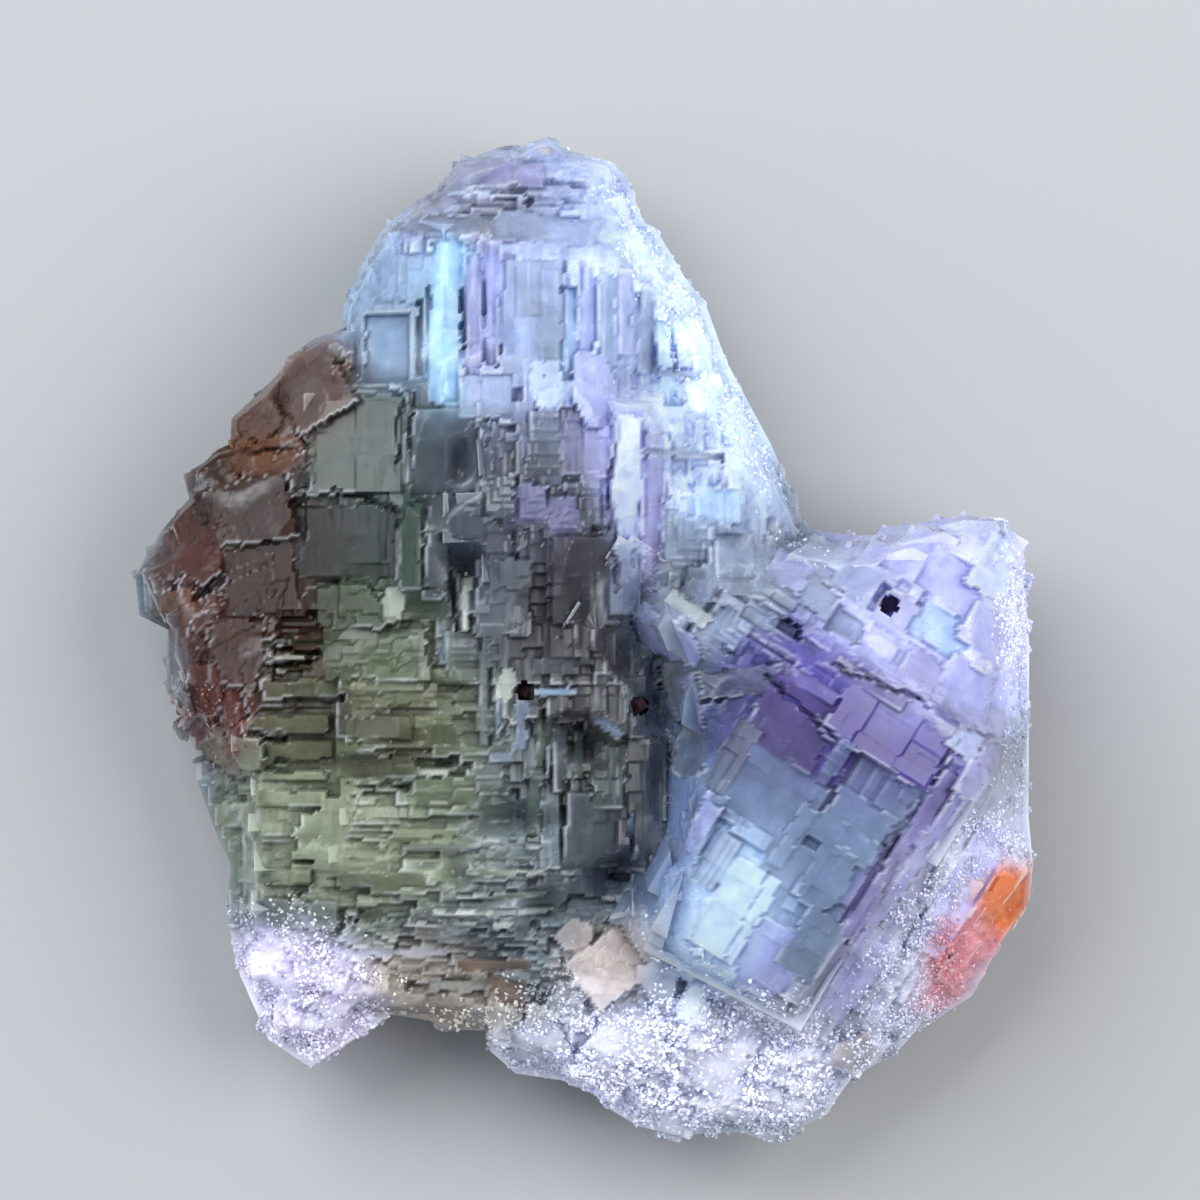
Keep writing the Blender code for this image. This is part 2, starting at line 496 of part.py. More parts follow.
def keep_outer_shell(builder):
    """Drops chips that nothing holds, and hollows that no opening reaches."""
    waiting = set(builder.faces)
    shells = []
    while waiting:
        front = [waiting.pop()]
        shell = []
        while front:
            face = front.pop()
            shell.append(face)
            for edge in face.edges:
                for neighbour in edge.link_faces:
                    if neighbour in waiting:
                        waiting.remove(neighbour)
                        front.append(neighbour)
        shells.append(shell)
    shells.sort(key=shell_volume)
    loose = [face for shell in shells[:-1] for face in shell]
    bmesh.ops.delete(builder, geom=loose, context="FACES")


def tidy(target):
    """One clean closed shell of triangles."""
    builder = bmesh.new()
    builder.from_mesh(target.data)
    bmesh.ops.triangulate(builder, faces=builder.faces[:])
    keep_outer_shell(builder)
    builder.to_mesh(target.data)
    builder.free()


def surface_height(target, x, y):
    tree = BVHTree.FromPolygons(
        [vertex.co for vertex in target.data.vertices],
        [polygon.vertices for polygon in target.data.polygons],
    )
    place, _, _, _ = tree.ray_cast(Vector((x, y, 2 * TOP)), Vector((0, 0, -1)))
    return place.z


def build_cluster(collection):
    corners = outline_points(HEART_STRIDE)
    heart = loft("fluorite_cluster", corners, HEART, collection, HEART_COVER, TERRACE_JITTER)
    growth = Blocks("growth")
    grow_front(growth)
    grow_back(growth)
    combine(heart, growth, "UNION")
    cuts = Blocks("breaks")
    cut_clefts(cuts)
    combine(heart, cuts, "DIFFERENCE")
    trim = Blocks("trim")
    loft("envelope", outline_points(), ENVELOPE, trim.collection)
    combine(heart, trim, "INTERSECT")
    tidy(heart)
    return heart


def build_grains(cluster, collection):
    """Small red-black grains, each in a pocket with a thin gap round it."""
    pockets = Blocks("pockets")
    grains = []
    for number, (x, y, size, turn) in enumerate(GRAINS, start=1):
        top = surface_height(cluster, x, y)
        lattice = Lattice(45.0, 0.0, turn)
        place = (x, y, top - GRAIN_SINK)
        pocket = size + 2 * GRAIN_GAP
        pockets.add(place, (pocket, pocket, pocket), lattice, loose=0.0)
        builder = bmesh.new()
        shape = lattice.matrix().to_4x4() @ Matrix.Diagonal((size, size, size, 1.0))
        bmesh.ops.create_cube(builder, size=1.0, matrix=Matrix.Translation(place) @ shape)
        grains.append(add_object(f"dark_grain_{number}", builder, collection))
    combine(cluster, pockets, "DIFFERENCE")
    tidy(cluster)
    return grains


def to_metres(thing):
    """Moves the origin to the middle of the outline and makes millimetres metres."""
    middle = Matrix.Translation((-WIDTH / 2, -LENGTH / 2, 0.0))
    thing.data.transform(Matrix.Scale(MM, 4) @ middle)


def main():
    clear_scene()
    collection = new_collection("fluorite_specimen")
    cluster = build_cluster(collection)
    grains = build_grains(cluster, collection)
    cluster.data.materials.clear()
    cluster.data.materials.append(material("fluorite", (0.50, 0.54, 0.62), 0.25))
    grain_finish = material("dark_mineral", (0.06, 0.015, 0.015), 0.35)
    for grain in grains:
        grain.data.materials.append(grain_finish)
    for thing in [cluster, *grains]:
        to_metres(thing)


main()
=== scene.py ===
"""Fluorite specimen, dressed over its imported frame.

The crystal is a copy of the frame's cluster. Small blocks are joined on round its sides, and a
stepped skin over its face: one on a square grid and one on a grid turned with the large cube.
Druses of fine grains lie on its rims as pieces of their own. Tables are in millimetres on the
plan of the specimen: x runs right and y up from the lower left corner of its box, and z is the
height above the back that it rests on. Meshes are in metres, with the frame's origin at the
middle of the back.
"""

from __future__ import annotations

import logging
import math
import random
from bisect import bisect_left
from collections.abc import Callable, Sequence
from dataclasses import dataclass, field
from enum import Enum
from itertools import accumulate
from typing import ClassVar

import bmesh
import bpy
import numpy as np
from mathutils import Euler, Matrix, Vector, noise
from mathutils.bvhtree import BVHTree

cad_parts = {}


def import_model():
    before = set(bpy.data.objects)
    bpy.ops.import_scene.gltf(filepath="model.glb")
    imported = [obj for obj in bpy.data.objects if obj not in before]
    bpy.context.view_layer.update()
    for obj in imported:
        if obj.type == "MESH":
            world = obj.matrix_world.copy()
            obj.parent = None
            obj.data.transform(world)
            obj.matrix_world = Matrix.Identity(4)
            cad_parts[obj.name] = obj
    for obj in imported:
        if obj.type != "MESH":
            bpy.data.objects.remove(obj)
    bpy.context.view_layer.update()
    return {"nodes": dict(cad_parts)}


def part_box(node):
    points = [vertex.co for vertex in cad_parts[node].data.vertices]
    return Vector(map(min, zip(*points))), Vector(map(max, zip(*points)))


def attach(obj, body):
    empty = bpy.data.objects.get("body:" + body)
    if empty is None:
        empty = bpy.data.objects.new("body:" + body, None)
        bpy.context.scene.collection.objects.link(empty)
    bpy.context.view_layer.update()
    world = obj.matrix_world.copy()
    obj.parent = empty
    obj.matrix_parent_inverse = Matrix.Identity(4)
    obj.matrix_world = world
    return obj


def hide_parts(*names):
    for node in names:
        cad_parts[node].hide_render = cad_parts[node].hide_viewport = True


MM = 0.001
PLAN_MIDDLE = (33.55, 37.55)
SEED = 42

Colour = tuple[float, float, float]
Point = tuple[float, float]
log = logging.getLogger("fluorite")


def at(x: float, y: float, z: float = 0.0) -> Vector:
    """The place in metres of a plan point in millimetres."""
    return Vector(((x - PLAN_MIDDLE[0]) * MM, (y - PLAN_MIDDLE[1]) * MM, z * MM))


def on_plan(place: Vector) -> Point:
    """The plan point in millimetres under a place in metres."""
    return place.x / MM + PLAN_MIDDLE[0], place.y / MM + PLAN_MIDDLE[1]


def paint(red: float, green: float, blue: float) -> Colour:
    """A linear colour from 0 to 255 display values.

    Args:
        red: Red as a display shows it.
        green: Green as a display shows it.
        blue: Blue as a display shows it.

    Returns:
        The same colour in linear light, from 0 to 1.
    """

    def linear(value: float) -> float:
        """One channel in linear light."""
        share = value / 255.0
        return share / 12.92 if share <= 0.04045 else ((share + 0.055) / 1.055) ** 2.4

    return linear(red), linear(green), linear(blue)


def spun(x: np.ndarray, y: np.ndarray, angle: float) -> tuple[np.ndarray, np.ndarray]:
    """Coordinates along axes that are turned about Z.

    Args:
        x: First coordinate of each point.
        y: Second coordinate of each point.
        angle: Turn of the axes in radians.

    Returns:
        Both coordinates along the turned axes.
    """
    cosine, sine = math.cos(angle), math.sin(angle)
    return x * cosine + y * sine, y * cosine - x * sine


def between(
    field: np.ndarray, x: np.ndarray, y: np.ndarray, soft: bool = False
) -> np.ndarray:
    """Reads a field between its points, as if it repeated past its ends.

    Args:
        field: Values on a grid with steps of 1.
        x: Column of each point, with its fraction.
        y: Row of each point, with its fraction.
        soft: Whether the values ease into one another.

    Returns:
        The value at each point.
    """
    rows, columns = field.shape
    i, j = np.floor(x).astype(int), np.floor(y).astype(int)
    s, t = x - i, y - j
    if soft:
        s, t = s * s * (3 - 2 * s), t * t * (3 - 2 * t)
    low, high = (
        field[row % rows, i % columns] * (1 - s) + field[row % rows, (i + 1) % columns] * s
        for row in (j, j + 1)
    )
    return low * (1 - t) + high * t


def plan_of(places: np.ndarray) -> tuple[np.ndarray, np.ndarray]:
    """Plan x and y in millimetres of places in metres, one place to a row."""
    return places[:, 0] / MM + PLAN_MIDDLE[0], places[:, 1] / MM + PLAN_MIDDLE[1]


def read(
    items: bpy.types.bpy_prop_collection, name: str, width: int = 1, kind: type = float
) -> np.ndarray:
    """One value or vector of each item of a mesh.

    Args:
        items: Its vertices, corners, faces or attribute values.
        name: Which value is read.
        width: How many numbers it has.
        kind: Type of the numbers.

    Returns:
        An array with an entry or a row for each item.
    """
    values = np.empty(len(items) * width, dtype=kind)
    items.foreach_get(name, values)
    return values.reshape(-1, width) if width > 1 else values


def mark(mesh: bpy.types.Mesh, name: str, value: float | np.ndarray = 0.0) -> None:
    """Gives each face of a mesh a number.

    Args:
        mesh: The mesh.
        name: Name of the face attribute, which may be there already.
        value: One number for all the faces, or one for each.
    """
    layer = mesh.attributes.get(name) or mesh.attributes.new(name, "FLOAT", "FACE")
    layer.data.foreach_set("value", np.full(len(mesh.polygons), value, dtype=float))


# ---------------------------------------------------------------- shader graph


class Socket:
    """A node output that takes part in sums as a number does."""

    def __init__(self, graph: Graph, out: bpy.types.NodeSocket) -> None:
        """Wraps one output of a node in a graph."""
        self.graph = graph
        self.out = out

    def __add__(self, other: Value) -> Socket:
        """This plus another value."""
        return self.graph.maths("ADD", self, other)

    __radd__ = __add__

    def __mul__(self, other: Value) -> Socket:
        """This times another value."""
        return self.graph.maths("MULTIPLY", self, other)

    __rmul__ = __mul__

    def __rsub__(self, other: Value) -> Socket:
        """Another value less this."""
        return self.graph.maths("SUBTRACT", other, self)

    def capped(self) -> Socket:
        """This kept between 0 and 1."""
        return self.graph.maths("ADD", self, 0.0, clamp=True)

    def eased(self, low: float, high: float) -> Socket:
        """A smooth step of this value.

        Args:
            low: Value that gives 0.
            high: Value that gives 1.

        Returns:
            The step, from 0 to 1.
        """
        return self.graph.node(
            "ShaderNodeMapRange",
            {"interpolation_type": "SMOOTHSTEP"},
            {"Value": self, "From Min": low, "From Max": high},
        )


Value = Socket | float


class Graph:
    """The node tree of one material."""

    def __init__(self, name: str) -> None:
        """Starts an empty material.

        Args:
            name: Name of the material.
        """
        self.material = bpy.data.materials.new(name)
        self.material.use_nodes = True
        self.nodes = self.material.node_tree.nodes
        self.links = self.material.node_tree.links
        self.nodes.clear()
        self.place = self.node("ShaderNodeTexCoord", out="Object")

    def node(
        self,
        kind: str,
        settings: dict[str, object] | None = None,
        sockets: dict[str | int, object] | None = None,
        out: str | int = 0,
    ) -> Socket:
        """Adds a node.

        Args:
            kind: Type of the node.
            settings: Its properties, set first.
            sockets: A value or a link for each input, by name or index.
            out: The output to hand back.

        Returns:
            That output.
        """
        made = self.nodes.new(kind)
        for key, value in (settings or {}).items():
            setattr(made, key, value)
        for key, value in (sockets or {}).items():
            entry = made.inputs[key]
            if isinstance(value, Socket):
                self.links.new(value.out, entry)
            else:
                entry.default_value = value
        return Socket(self, made.outputs[out])

    def maths(self, operation: str, *values: Value, clamp: bool = False) -> Socket:
        """Adds a Math node on values.

        Args:
            operation: What the node works out.
            values: Its inputs.
            clamp: Whether the result stays between 0 and 1.

        Returns:
            Its output.
        """
        return self.node(
            "ShaderNodeMath",
            {"operation": operation, "use_clamp": clamp},
            dict(enumerate(values)),
        )

    def mixed(
        self,
        share: Value,
        low: Socket | Colour,
        high: Socket | Colour,
        blend: str = "MIX",
    ) -> Socket:
        """A blend of two colours.

        Args:
            share: 0 for the first, 1 for the second.
            low: First colour.
            high: Second colour.
            blend: Blending mode.

        Returns:
            The blended colour.
        """

        def full(colour: Socket | Colour) -> object:
            """A colour as the node takes it."""
            return colour if isinstance(colour, Socket) else (*colour, 1.0)

        made = self.nodes.new("ShaderNodeMix")
        made.data_type = "RGBA"
        made.blend_type = blend
        for index, value in ((0, share), (6, full(low)), (7, full(high))):
            if isinstance(value, Socket):
                self.links.new(value.out, made.inputs[index])
            else:
                made.inputs[index].default_value = value
        return Socket(self, made.outputs[2])

    def grey(self, value: Socket) -> Socket:
        """A number as a grey colour."""
        return self.node("ShaderNodeCombineColor", {}, {0: value, 1: value, 2: value})

    def laid(self, turn: float, stretch: tuple[float, float, float]) -> Socket:
        """Coordinates turned into a growth direction and stretched.

        Args:
            turn: Turn about Z in degrees.
            stretch: Scale along each turned axis.

        Returns:
            The new coordinates.
        """
        turned = self.node(
            "ShaderNodeMapping",
            {},
            {"Vector": self.place, "Rotation": (0.0, 0.0, math.radians(-turn))},
        )
        return self.node(
            "ShaderNodeVectorMath", {"operation": "MULTIPLY"}, {0: turned, 1: stretch}
        )

    def noise(
        self,
        grain_mm: float,
        detail: float = 3.0,
        rough: float = 0.55,
        place: Socket | None = None,
    ) -> Socket:
        """Soft noise with patches of a given size.

        Args:
            grain_mm: Size of a patch.
            detail: Finer layers.
            rough: How strong the finer layers are.
            place: Coordinates, or the object's own.

        Returns:
            The noise.
        """
        return self.node(
            "ShaderNodeTexNoise",
            {},
            {
                "Vector": place or self.place,
                "Scale": 1.0 / (grain_mm * MM),
                "Detail": detail,
                "Roughness": rough,
            },
            "Fac",
        )

    def attribute(self, name: str, out: str) -> Socket:
        """Reads an attribute of the mesh."""
        return self.node("ShaderNodeAttribute", {"attribute_name": name}, out=out)

    def bump(self, height: Socket, strength: float, depth: float) -> Socket:
        """Adds a Bump node, with its depth in metres."""
        sockets = {"Height": height, "Strength": strength, "Distance": depth}
        return self.node("ShaderNodeBump", {}, sockets)

    def principled(self, sockets: dict[str | int, object], **settings: object) -> Socket:
        """Adds a Principled shader with these inputs and properties."""
        return self.node("ShaderNodeBsdfPrincipled", settings, sockets)

    def finish(self, surface: Socket, volume: Socket | None = None) -> bpy.types.Material:
        """Links the shaders to the output.

        Args:
            surface: Surface shader.
            volume: Volume shader, if there is one.

        Returns:
            The finished material.
        """
        end = self.nodes.new("ShaderNodeOutputMaterial")
        self.links.new(surface.out, end.inputs["Surface"])
        if volume is not None:
            self.links.new(volume.out, end.inputs["Volume"])
        return self.material


# ---------------------------------------------------------------- finishes


@dataclass(frozen=True)
class Tint:
    """A soft oval of colour on the plan.

    Attributes:
        name: What it colours.
        centre: Its middle.
        reach: Its half axes.
        turn: Its turn in degrees.
        colour: Its colour.
        share: How strongly it holds at its middle.
        soft: Softness of its border, as a share of its reach.
    """

    name: str
    centre: Point
    reach: Point
    turn: float
    colour: Colour
    share: float = 1.0
    soft: float = 0.45


BODY_COLOUR = paint(128, 140, 148)
# Colour of the painted highlight on the top edges of the steps.
PAINTED_HIGHLIGHT_COLOUR = paint(232, 238, 246)
NO_COLOUR = (0.0, 0.0, 0.0)
TINTS = (
    Tint("spire_blue", (29, 63), (15, 13), 0, paint(182, 196, 236)),
    Tint("spire_left_plate", (19.5, 61), (4.5, 6.5), 0, paint(160, 188, 214)),
    Tint("spire_grey_prism", (31.5, 60), (2.2, 5.5), 0, paint(140, 152, 168), 0.7),
    Tint("spire_cyan_column", (23.3, 60.5), (1.8, 6.5), 0, paint(184, 226, 250), 0.9),
    Tint("cap_grey", (25.5, 70.2), (6.5, 3.5), -8, paint(140, 142, 160), 0.8),
    Tint("flank_lavender", (40, 57), (5.5, 14), 27, paint(194, 212, 250)),
    Tint("tall_column", (37, 47.5), (2.4, 8), 0, paint(196, 202, 248)),
    Tint("body_shadow", (19, 51), (7, 5.5), 0, paint(72, 88, 88), 0.95),
    Tint("body_green", (17, 42.5), (8, 5), 0, paint(82, 100, 88), 0.95),
    Tint("body_middle", (29, 45), (6, 9), 0, paint(92, 96, 114), 0.95),
    Tint("dark_centre", (33, 36), (4.5, 8), 0, paint(84, 80, 86), 0.85),
    Tint("ledge_olive", (17, 31), (10, 9), -4, paint(118, 124, 104)),
    Tint("ledge_yellow", (16, 22), (10, 6), -4, paint(154, 161, 140), 0.9),
    Tint("green_plate", (23, 26), (3.5, 2.4), 0, paint(140, 154, 138), 0.6),
    Tint("dark_plates", (36.4, 25), (3.6, 6.5), 0, paint(82, 82, 76), 0.95),
    Tint("junction_grey", (42, 39), (6, 4.5), -30, paint(150, 160, 180), 0.9),
    Tint("cube_slate", (47, 25), (9.5, 13), -30, paint(122, 142, 178)),
    Tint("cube_violet", (52.5, 32), (9, 5.4), -30, paint(96, 84, 162), 0.98),
    Tint("cube_dusky", (46, 31), (4.5, 3.5), -30, paint(98, 96, 146), 0.8),
    # Paler zone of the cube, partly the crystal's own colour and partly a painted highlight.
    Tint("cube_bright", (43.5, 17.5), (4.2, 7), -30, paint(196, 220, 250), 0.95),
    Tint("cube_edge_violet", (57, 20.5), (2.4, 13), -30, paint(150, 138, 200), 0.8),
    Tint("shingles", (60, 40), (9.5, 8), -30, paint(198, 202, 246)),
    Tint("right_band", (60.5, 17), (5.5, 13), -30, paint(188, 192, 214), 0.95),
    Tint("rim_brown", (9.5, 44), (6.2, 13), 12, paint(66, 44, 34)),
    Tint("rim_rust", (5.5, 40), (3.6, 8), 20, paint(88, 50, 42), 0.85),
    Tint("rim_orange", (10.5, 52.4), (3.4, 2.4), 20, paint(112, 70, 34), 0.8),
    Tint("rim_pink_plate", (13.0, 56.2), (4.4, 4.6), 0, paint(112, 90, 82), 0.95),
    Tint("rim_red_low", (6.2, 31.6), (3, 3.8), 0, paint(104, 50, 40), 0.85),
    Tint("smoky_plate", (35.5, 13.5), (4.2, 3.2), 40, paint(188, 178, 172), 0.9),
    Tint("foot_white", (41, 6), (14, 5.6), -4, paint(206, 209, 230)),
    Tint("foot_tip", (12.5, 11), (7, 5.4), -30, paint(196, 192, 216), 0.95),
    Tint("hem_tan", (23, 12), (6, 3.4), -12, paint(190, 180, 168), 0.8),
    Tint("corner_pink", (62.5, 15.4), (2.6, 5.6), -32, paint(190, 124, 136), 0.95),
    Tint("corner_orange", (65.2, 18.2), (2.2, 3.0), -32, paint(196, 122, 80), 0.95),
)
FROSTS = (
    Tint("foot", (40, 5), (15, 6.4), -4, NO_COLOUR),
    Tint("tip", (12.5, 10.5), (7.4, 5.6), -30, NO_COLOUR),
    Tint("spire_slope", (41.4, 61), (2.2, 16), 27, NO_COLOUR, 0.7),
    Tint("right_band", (60.8, 15.5), (4.6, 11), -33, NO_COLOUR, 0.9),
    Tint("block_edge", (66.4, 38), (2.2, 9.5), 0, NO_COLOUR, 0.9),
    Tint("rim", (7, 43), (7.5, 16), 14, NO_COLOUR, 0.12),
)
BARE = (
    Tint("tan_plate", (35.8, 13.6), (3.0, 3.4), 30, NO_COLOUR, 1.0, 0.25),
    Tint("orange_corner", (64.6, 17.6), (3.0, 4.6), -32, NO_COLOUR, 0.96, 0.35),
    Tint("pink_corner", (61.6, 12.8), (2.4, 3.4), -32, NO_COLOUR, 0.6, 0.4),
)


def tint_of(tints: Sequence[Tint], name: str) -> Tint:
    """The oval of that name."""
    return next(tint for tint in tints if tint.name == name)


@dataclass(frozen=True)
class Painter:
    """Writes the tint and frost of each corner of a mesh, with painted shade and painted
    highlights at the steps.

    Attributes:
        base: Colour where no oval holds.
        wander: How far the ovals' borders wander, in millimetres.
        wander_scale: How often they do, per metre.
        tone_range: Difference between the darkest and the palest block.
        darkest: Least share of light that a line leaves.
        fade: How much of the colour turns grey.
        depth: Power that darkens the dark colours.
        glow: Factor on the result.
        foot: Painted shade at the foot of a step.
        painted_lip_highlight: Strength of the painted highlight on a step's top edge.
        sugar_veil: How much of the painted shade lines the frost hides.
    """

    base: Colour = BODY_COLOUR
    wander: float = 1.5
    wander_scale: float = 260.0
    tone_range: float = 0.62
    darkest: float = 0.12
    fade: float = 0.04
    depth: float = 1.24
    glow: float = 1.2
    foot: float = 0.42
    painted_lip_highlight: float = 0.36
    sugar_veil: float = 0.75

    def share(self, tint: Tint, x: np.ndarray, y: np.ndarray) -> np.ndarray:
        """How strongly an oval holds at plan points.

        Args:
            tint: The oval.
            x: Plan x of each point.
            y: Plan y of each point.

        Returns:
            Its share at each point.
        """
        u, v = spun(x - tint.centre[0], y - tint.centre[1], math.radians(tint.turn))
        far = np.hypot(u / tint.reach[0], v / tint.reach[1])
        near = np.clip((1.0 + tint.soft - far) / (2.0 * tint.soft), 0.0, 1.0)
        return near * near * (3.0 - 2.0 * near) * tint.share

    def paint(self, mesh: bpy.types.Mesh, terrains: Sequence[Terrain]) -> None:
        """Adds the corner attributes "tint" and "frost".

        Args:
            mesh: Mesh with the face attributes "tone" and "skin".
            terrains: The stepped skins.
        """
        places = read(mesh.vertices, "co", 3)
        drift = np.array([noise.noise_vector(Vector(p) * self.wander_scale)[:2] for p in places])
        vertex = read(mesh.loops, "vertex_index", kind=int)
        sides = read(mesh.polygons, "loop_total", kind=int)
        tone = np.repeat(read(mesh.attributes["tone"].data, "value"), sides)
        skin = np.round(np.repeat(read(mesh.attributes["skin"].data, "value"), sides))
        px, py = plan_of(places[vertex])
        x = px + drift[vertex, 0] * self.wander
        y = py + drift[vertex, 1] * self.wander
        colour = np.tile(np.array(self.base), (len(x), 1))
        for tint in TINTS:
            share = self.share(tint, x, y)[:, None]
            colour = colour * (1.0 - share) + np.array(tint.colour) * share
        for number, terrain in enumerate(terrains, 1):
            on_skin = skin == number
            own = terrain.sample(terrain.own, px, py)
            share = own[:, 3:] * on_skin[:, None]
            colour = colour * (1.0 - share) + own[:, :3] * share
            tone = np.where(on_skin, terrain.sample(terrain.tone, px, py), tone)
            # Painted shade: a dark line at the foot of each step, fainter where frost lies.
            line = terrain.sample(terrain.feet * (1.0 - self.sugar_veil * terrain.frost), px, py)
            tone = tone - on_skin * line * self.foot
            # Painted highlight: the top edge of a step is blended towards a pale colour.
            painted_lip_highlight = (on_skin * terrain.sample(terrain.painted_highlights, px, py) * self.painted_lip_highlight)[:, None]
            colour = colour * (1.0 - painted_lip_highlight) + np.array(PAINTED_HIGHLIGHT_COLOUR) * painted_lip_highlight
        colour += (colour.mean(axis=1, keepdims=True) - colour) * self.fade
        shade = 1.0 - self.tone_range / 2 + self.tone_range * tone
        colour *= np.maximum(shade, self.darkest)[:, None]
        colour = np.clip(colour, 0.0, 1.0) ** self.depth * self.glow
        frost = np.max([self.share(tint, x, y) for tint in FROSTS], axis=0)
        layer = mesh.attributes.new("tint", "FLOAT_COLOR", "CORNER")
        layer.data.foreach_set("color", np.column_stack((colour, np.ones(len(x)))).ravel())
        layer = mesh.attributes.new("frost", "FLOAT", "CORNER")
        layer.data.foreach_set("value", frost)


@dataclass(frozen=True)
class CrystalFinish:
    """Clear to milky fluorite, tinted zone by zone, with painted shade in its hollows.

    Attributes:
        name: Name of the material.
        refraction: Index of refraction.
        clearness: Transmission of the clear part.
        milk: Least share of the milky part.
        frost_milk: How much frost adds to that share.
        glow_depth: How far light spreads in the milky part, in metres.
        shine: Strength of the reflections.
        cloud: Grain in millimetres, detail and roughness of the cloudy patches.
        cloud_low: Brightness of the darkest patch.
        cloud_range: What the palest patch has more.
        painted_shade_reach: How near a wall must stand to give the painted shade in hollows, in
            metres.
        painted_shade_share: How strongly the painted shade darkens the hollows.
        painted_shade_colour: Colour of that painted shade.
        streak: Grain in millimetres, detail and roughness of the growth streaks.
        streak_turn: Their turn in degrees.
        streak_stretch: Their stretch along each axis.
        streak_strength: Strength of their bump.
        streak_depth: Depth of their bump, in metres.
        rough: Least roughness.
        frost_rough: What frost adds to it.
        cloud_rough: What the patches add to it.
        volume_colour: Colour that the volume lets through.
        volume_density: How strongly it absorbs the rest, per metre.
    """

    name: str = "fluorite_crystal"
    refraction: float = 1.434
    clearness: float = 0.9
    milk: float = 0.48
    frost_milk: float = 0.6
    glow_depth: float = 0.0045
    shine: float = 0.22
    cloud: tuple[float, float, float] = (1.3, 1.0, 0.6)
    cloud_low: float = 0.72
    cloud_range: float = 0.56
    painted_shade_reach: float = 0.0012
    painted_shade_share: float = 0.30
    painted_shade_colour: Colour = paint(72, 76, 98)
    streak: tuple[float, float, float] = (0.5, 0.0, 0.6)
    streak_turn: float = 2.0
    streak_stretch: tuple[float, float, float] = (1.0, 0.22, 1.0)
    streak_strength: float = 0.14
    streak_depth: float = 0.0003
    rough: float = 0.17
    frost_rough: float = 0.36
    cloud_rough: float = 0.16
    volume_colour: Colour = paint(206, 214, 236)
    volume_density: float = 24.0

    def openness(self, graph: Graph) -> Socket:
        """How open the surface is nearby.

        Args:
            graph: The material's graph.

        Returns:
            1 where it is open, 0 where it is closed in.
        """
        settings = {"only_local": True, "samples": 1, "inside": False}
        sockets = {"Distance": self.painted_shade_reach}
        return graph.node("ShaderNodeAmbientOcclusion", settings, sockets, "AO")

    def make(self) -> bpy.types.Material:
        """Builds the material.

        Returns:
            The material.
        """
        g = Graph(self.name)
        tint, frost = g.attribute("tint", "Color"), g.attribute("frost", "Fac")
        cloud = g.noise(*self.cloud)
        shade = g.grey(self.cloud_low + cloud * self.cloud_range)
        colour = g.mixed(1.0, tint, shade, "MULTIPLY")
        # Painted shade: the colour darkens where ambient occlusion finds walls nearby.
        painted_crevice_shade = (1.0 - self.openness(g)) * self.painted_shade_share
        colour = g.mixed(painted_crevice_shade, colour, self.painted_shade_colour, "MULTIPLY")
        streaks = g.noise(*self.streak, g.laid(self.streak_turn, self.streak_stretch))
        rough = self.rough + frost * self.frost_rough + cloud * self.cloud_rough
        shared = {
            "Base Color": colour,
            "Roughness": rough.capped(),
            "Normal": g.bump(streaks, self.streak_strength, self.streak_depth),
            "IOR": self.refraction,
            "Specular IOR Level": self.shine,
        }
        clear = g.principled({**shared, "Transmission Weight": self.clearness})
        spread = {
            "Subsurface Weight": 1.0,
            "Subsurface Radius": (1.0, 1.0, 1.0),
            "Subsurface Scale": self.glow_depth,
        }
        milky = g.principled({**shared, **spread}, subsurface_method="RANDOM_WALK")
        share = (self.milk + frost * self.frost_milk).capped()
        surface = g.node("ShaderNodeMixShader", {}, {0: share, 1: clear, 2: milky})
        absorbed = {"Color": (*self.volume_colour, 1.0), "Density": self.volume_density}
        return g.finish(surface, g.node("ShaderNodeVolumeAbsorption", {}, absorbed))


@dataclass(frozen=True)
class SugarFinish:
    """Frosty little crystals, tinted by their zone.

    Attributes:
        name: Name of the material.
        whiten: How much of the tint turns white.
        white: That white.
        cloud: Grain in millimetres and detail of the cloudy patches.
        cloud_low: Brightness of the darkest patch.
        cloud_range: What the palest patch has more.
        rough: Least roughness.
        cloud_rough: What the patches add to it.
        refraction: Index of refraction.
        coat: Weight of the clear coat.
    """

    name: str = "fluorite_sugar"
    whiten: float = 0.08
    white: Colour = paint(250, 250, 255)
    cloud: tuple[float, float] = (0.9, 0.0)
    cloud_low: float = 0.70
    cloud_range: float = 0.5
    rough: float = 0.12
    cloud_rough: float = 0.3
    refraction: float = 1.434
    coat: float = 0.3

    def make(self) -> bpy.types.Material:
        """Builds the material.

        Returns:
            The material.
        """
        g = Graph(self.name)
        tint, cloud = g.attribute("tint", "Color"), g.noise(*self.cloud)
        colour = g.mixed(self.whiten, tint, self.white)
        shade = g.grey(self.cloud_low + cloud * self.cloud_range)
        surface = g.principled(
            {
                "Base Color": g.mixed(1.0, colour, shade, "MULTIPLY"),
                "Roughness": self.rough + cloud * self.cloud_rough,
                "IOR": self.refraction,
                "Coat Weight": self.coat,
            }
        )
        return g.finish(surface)


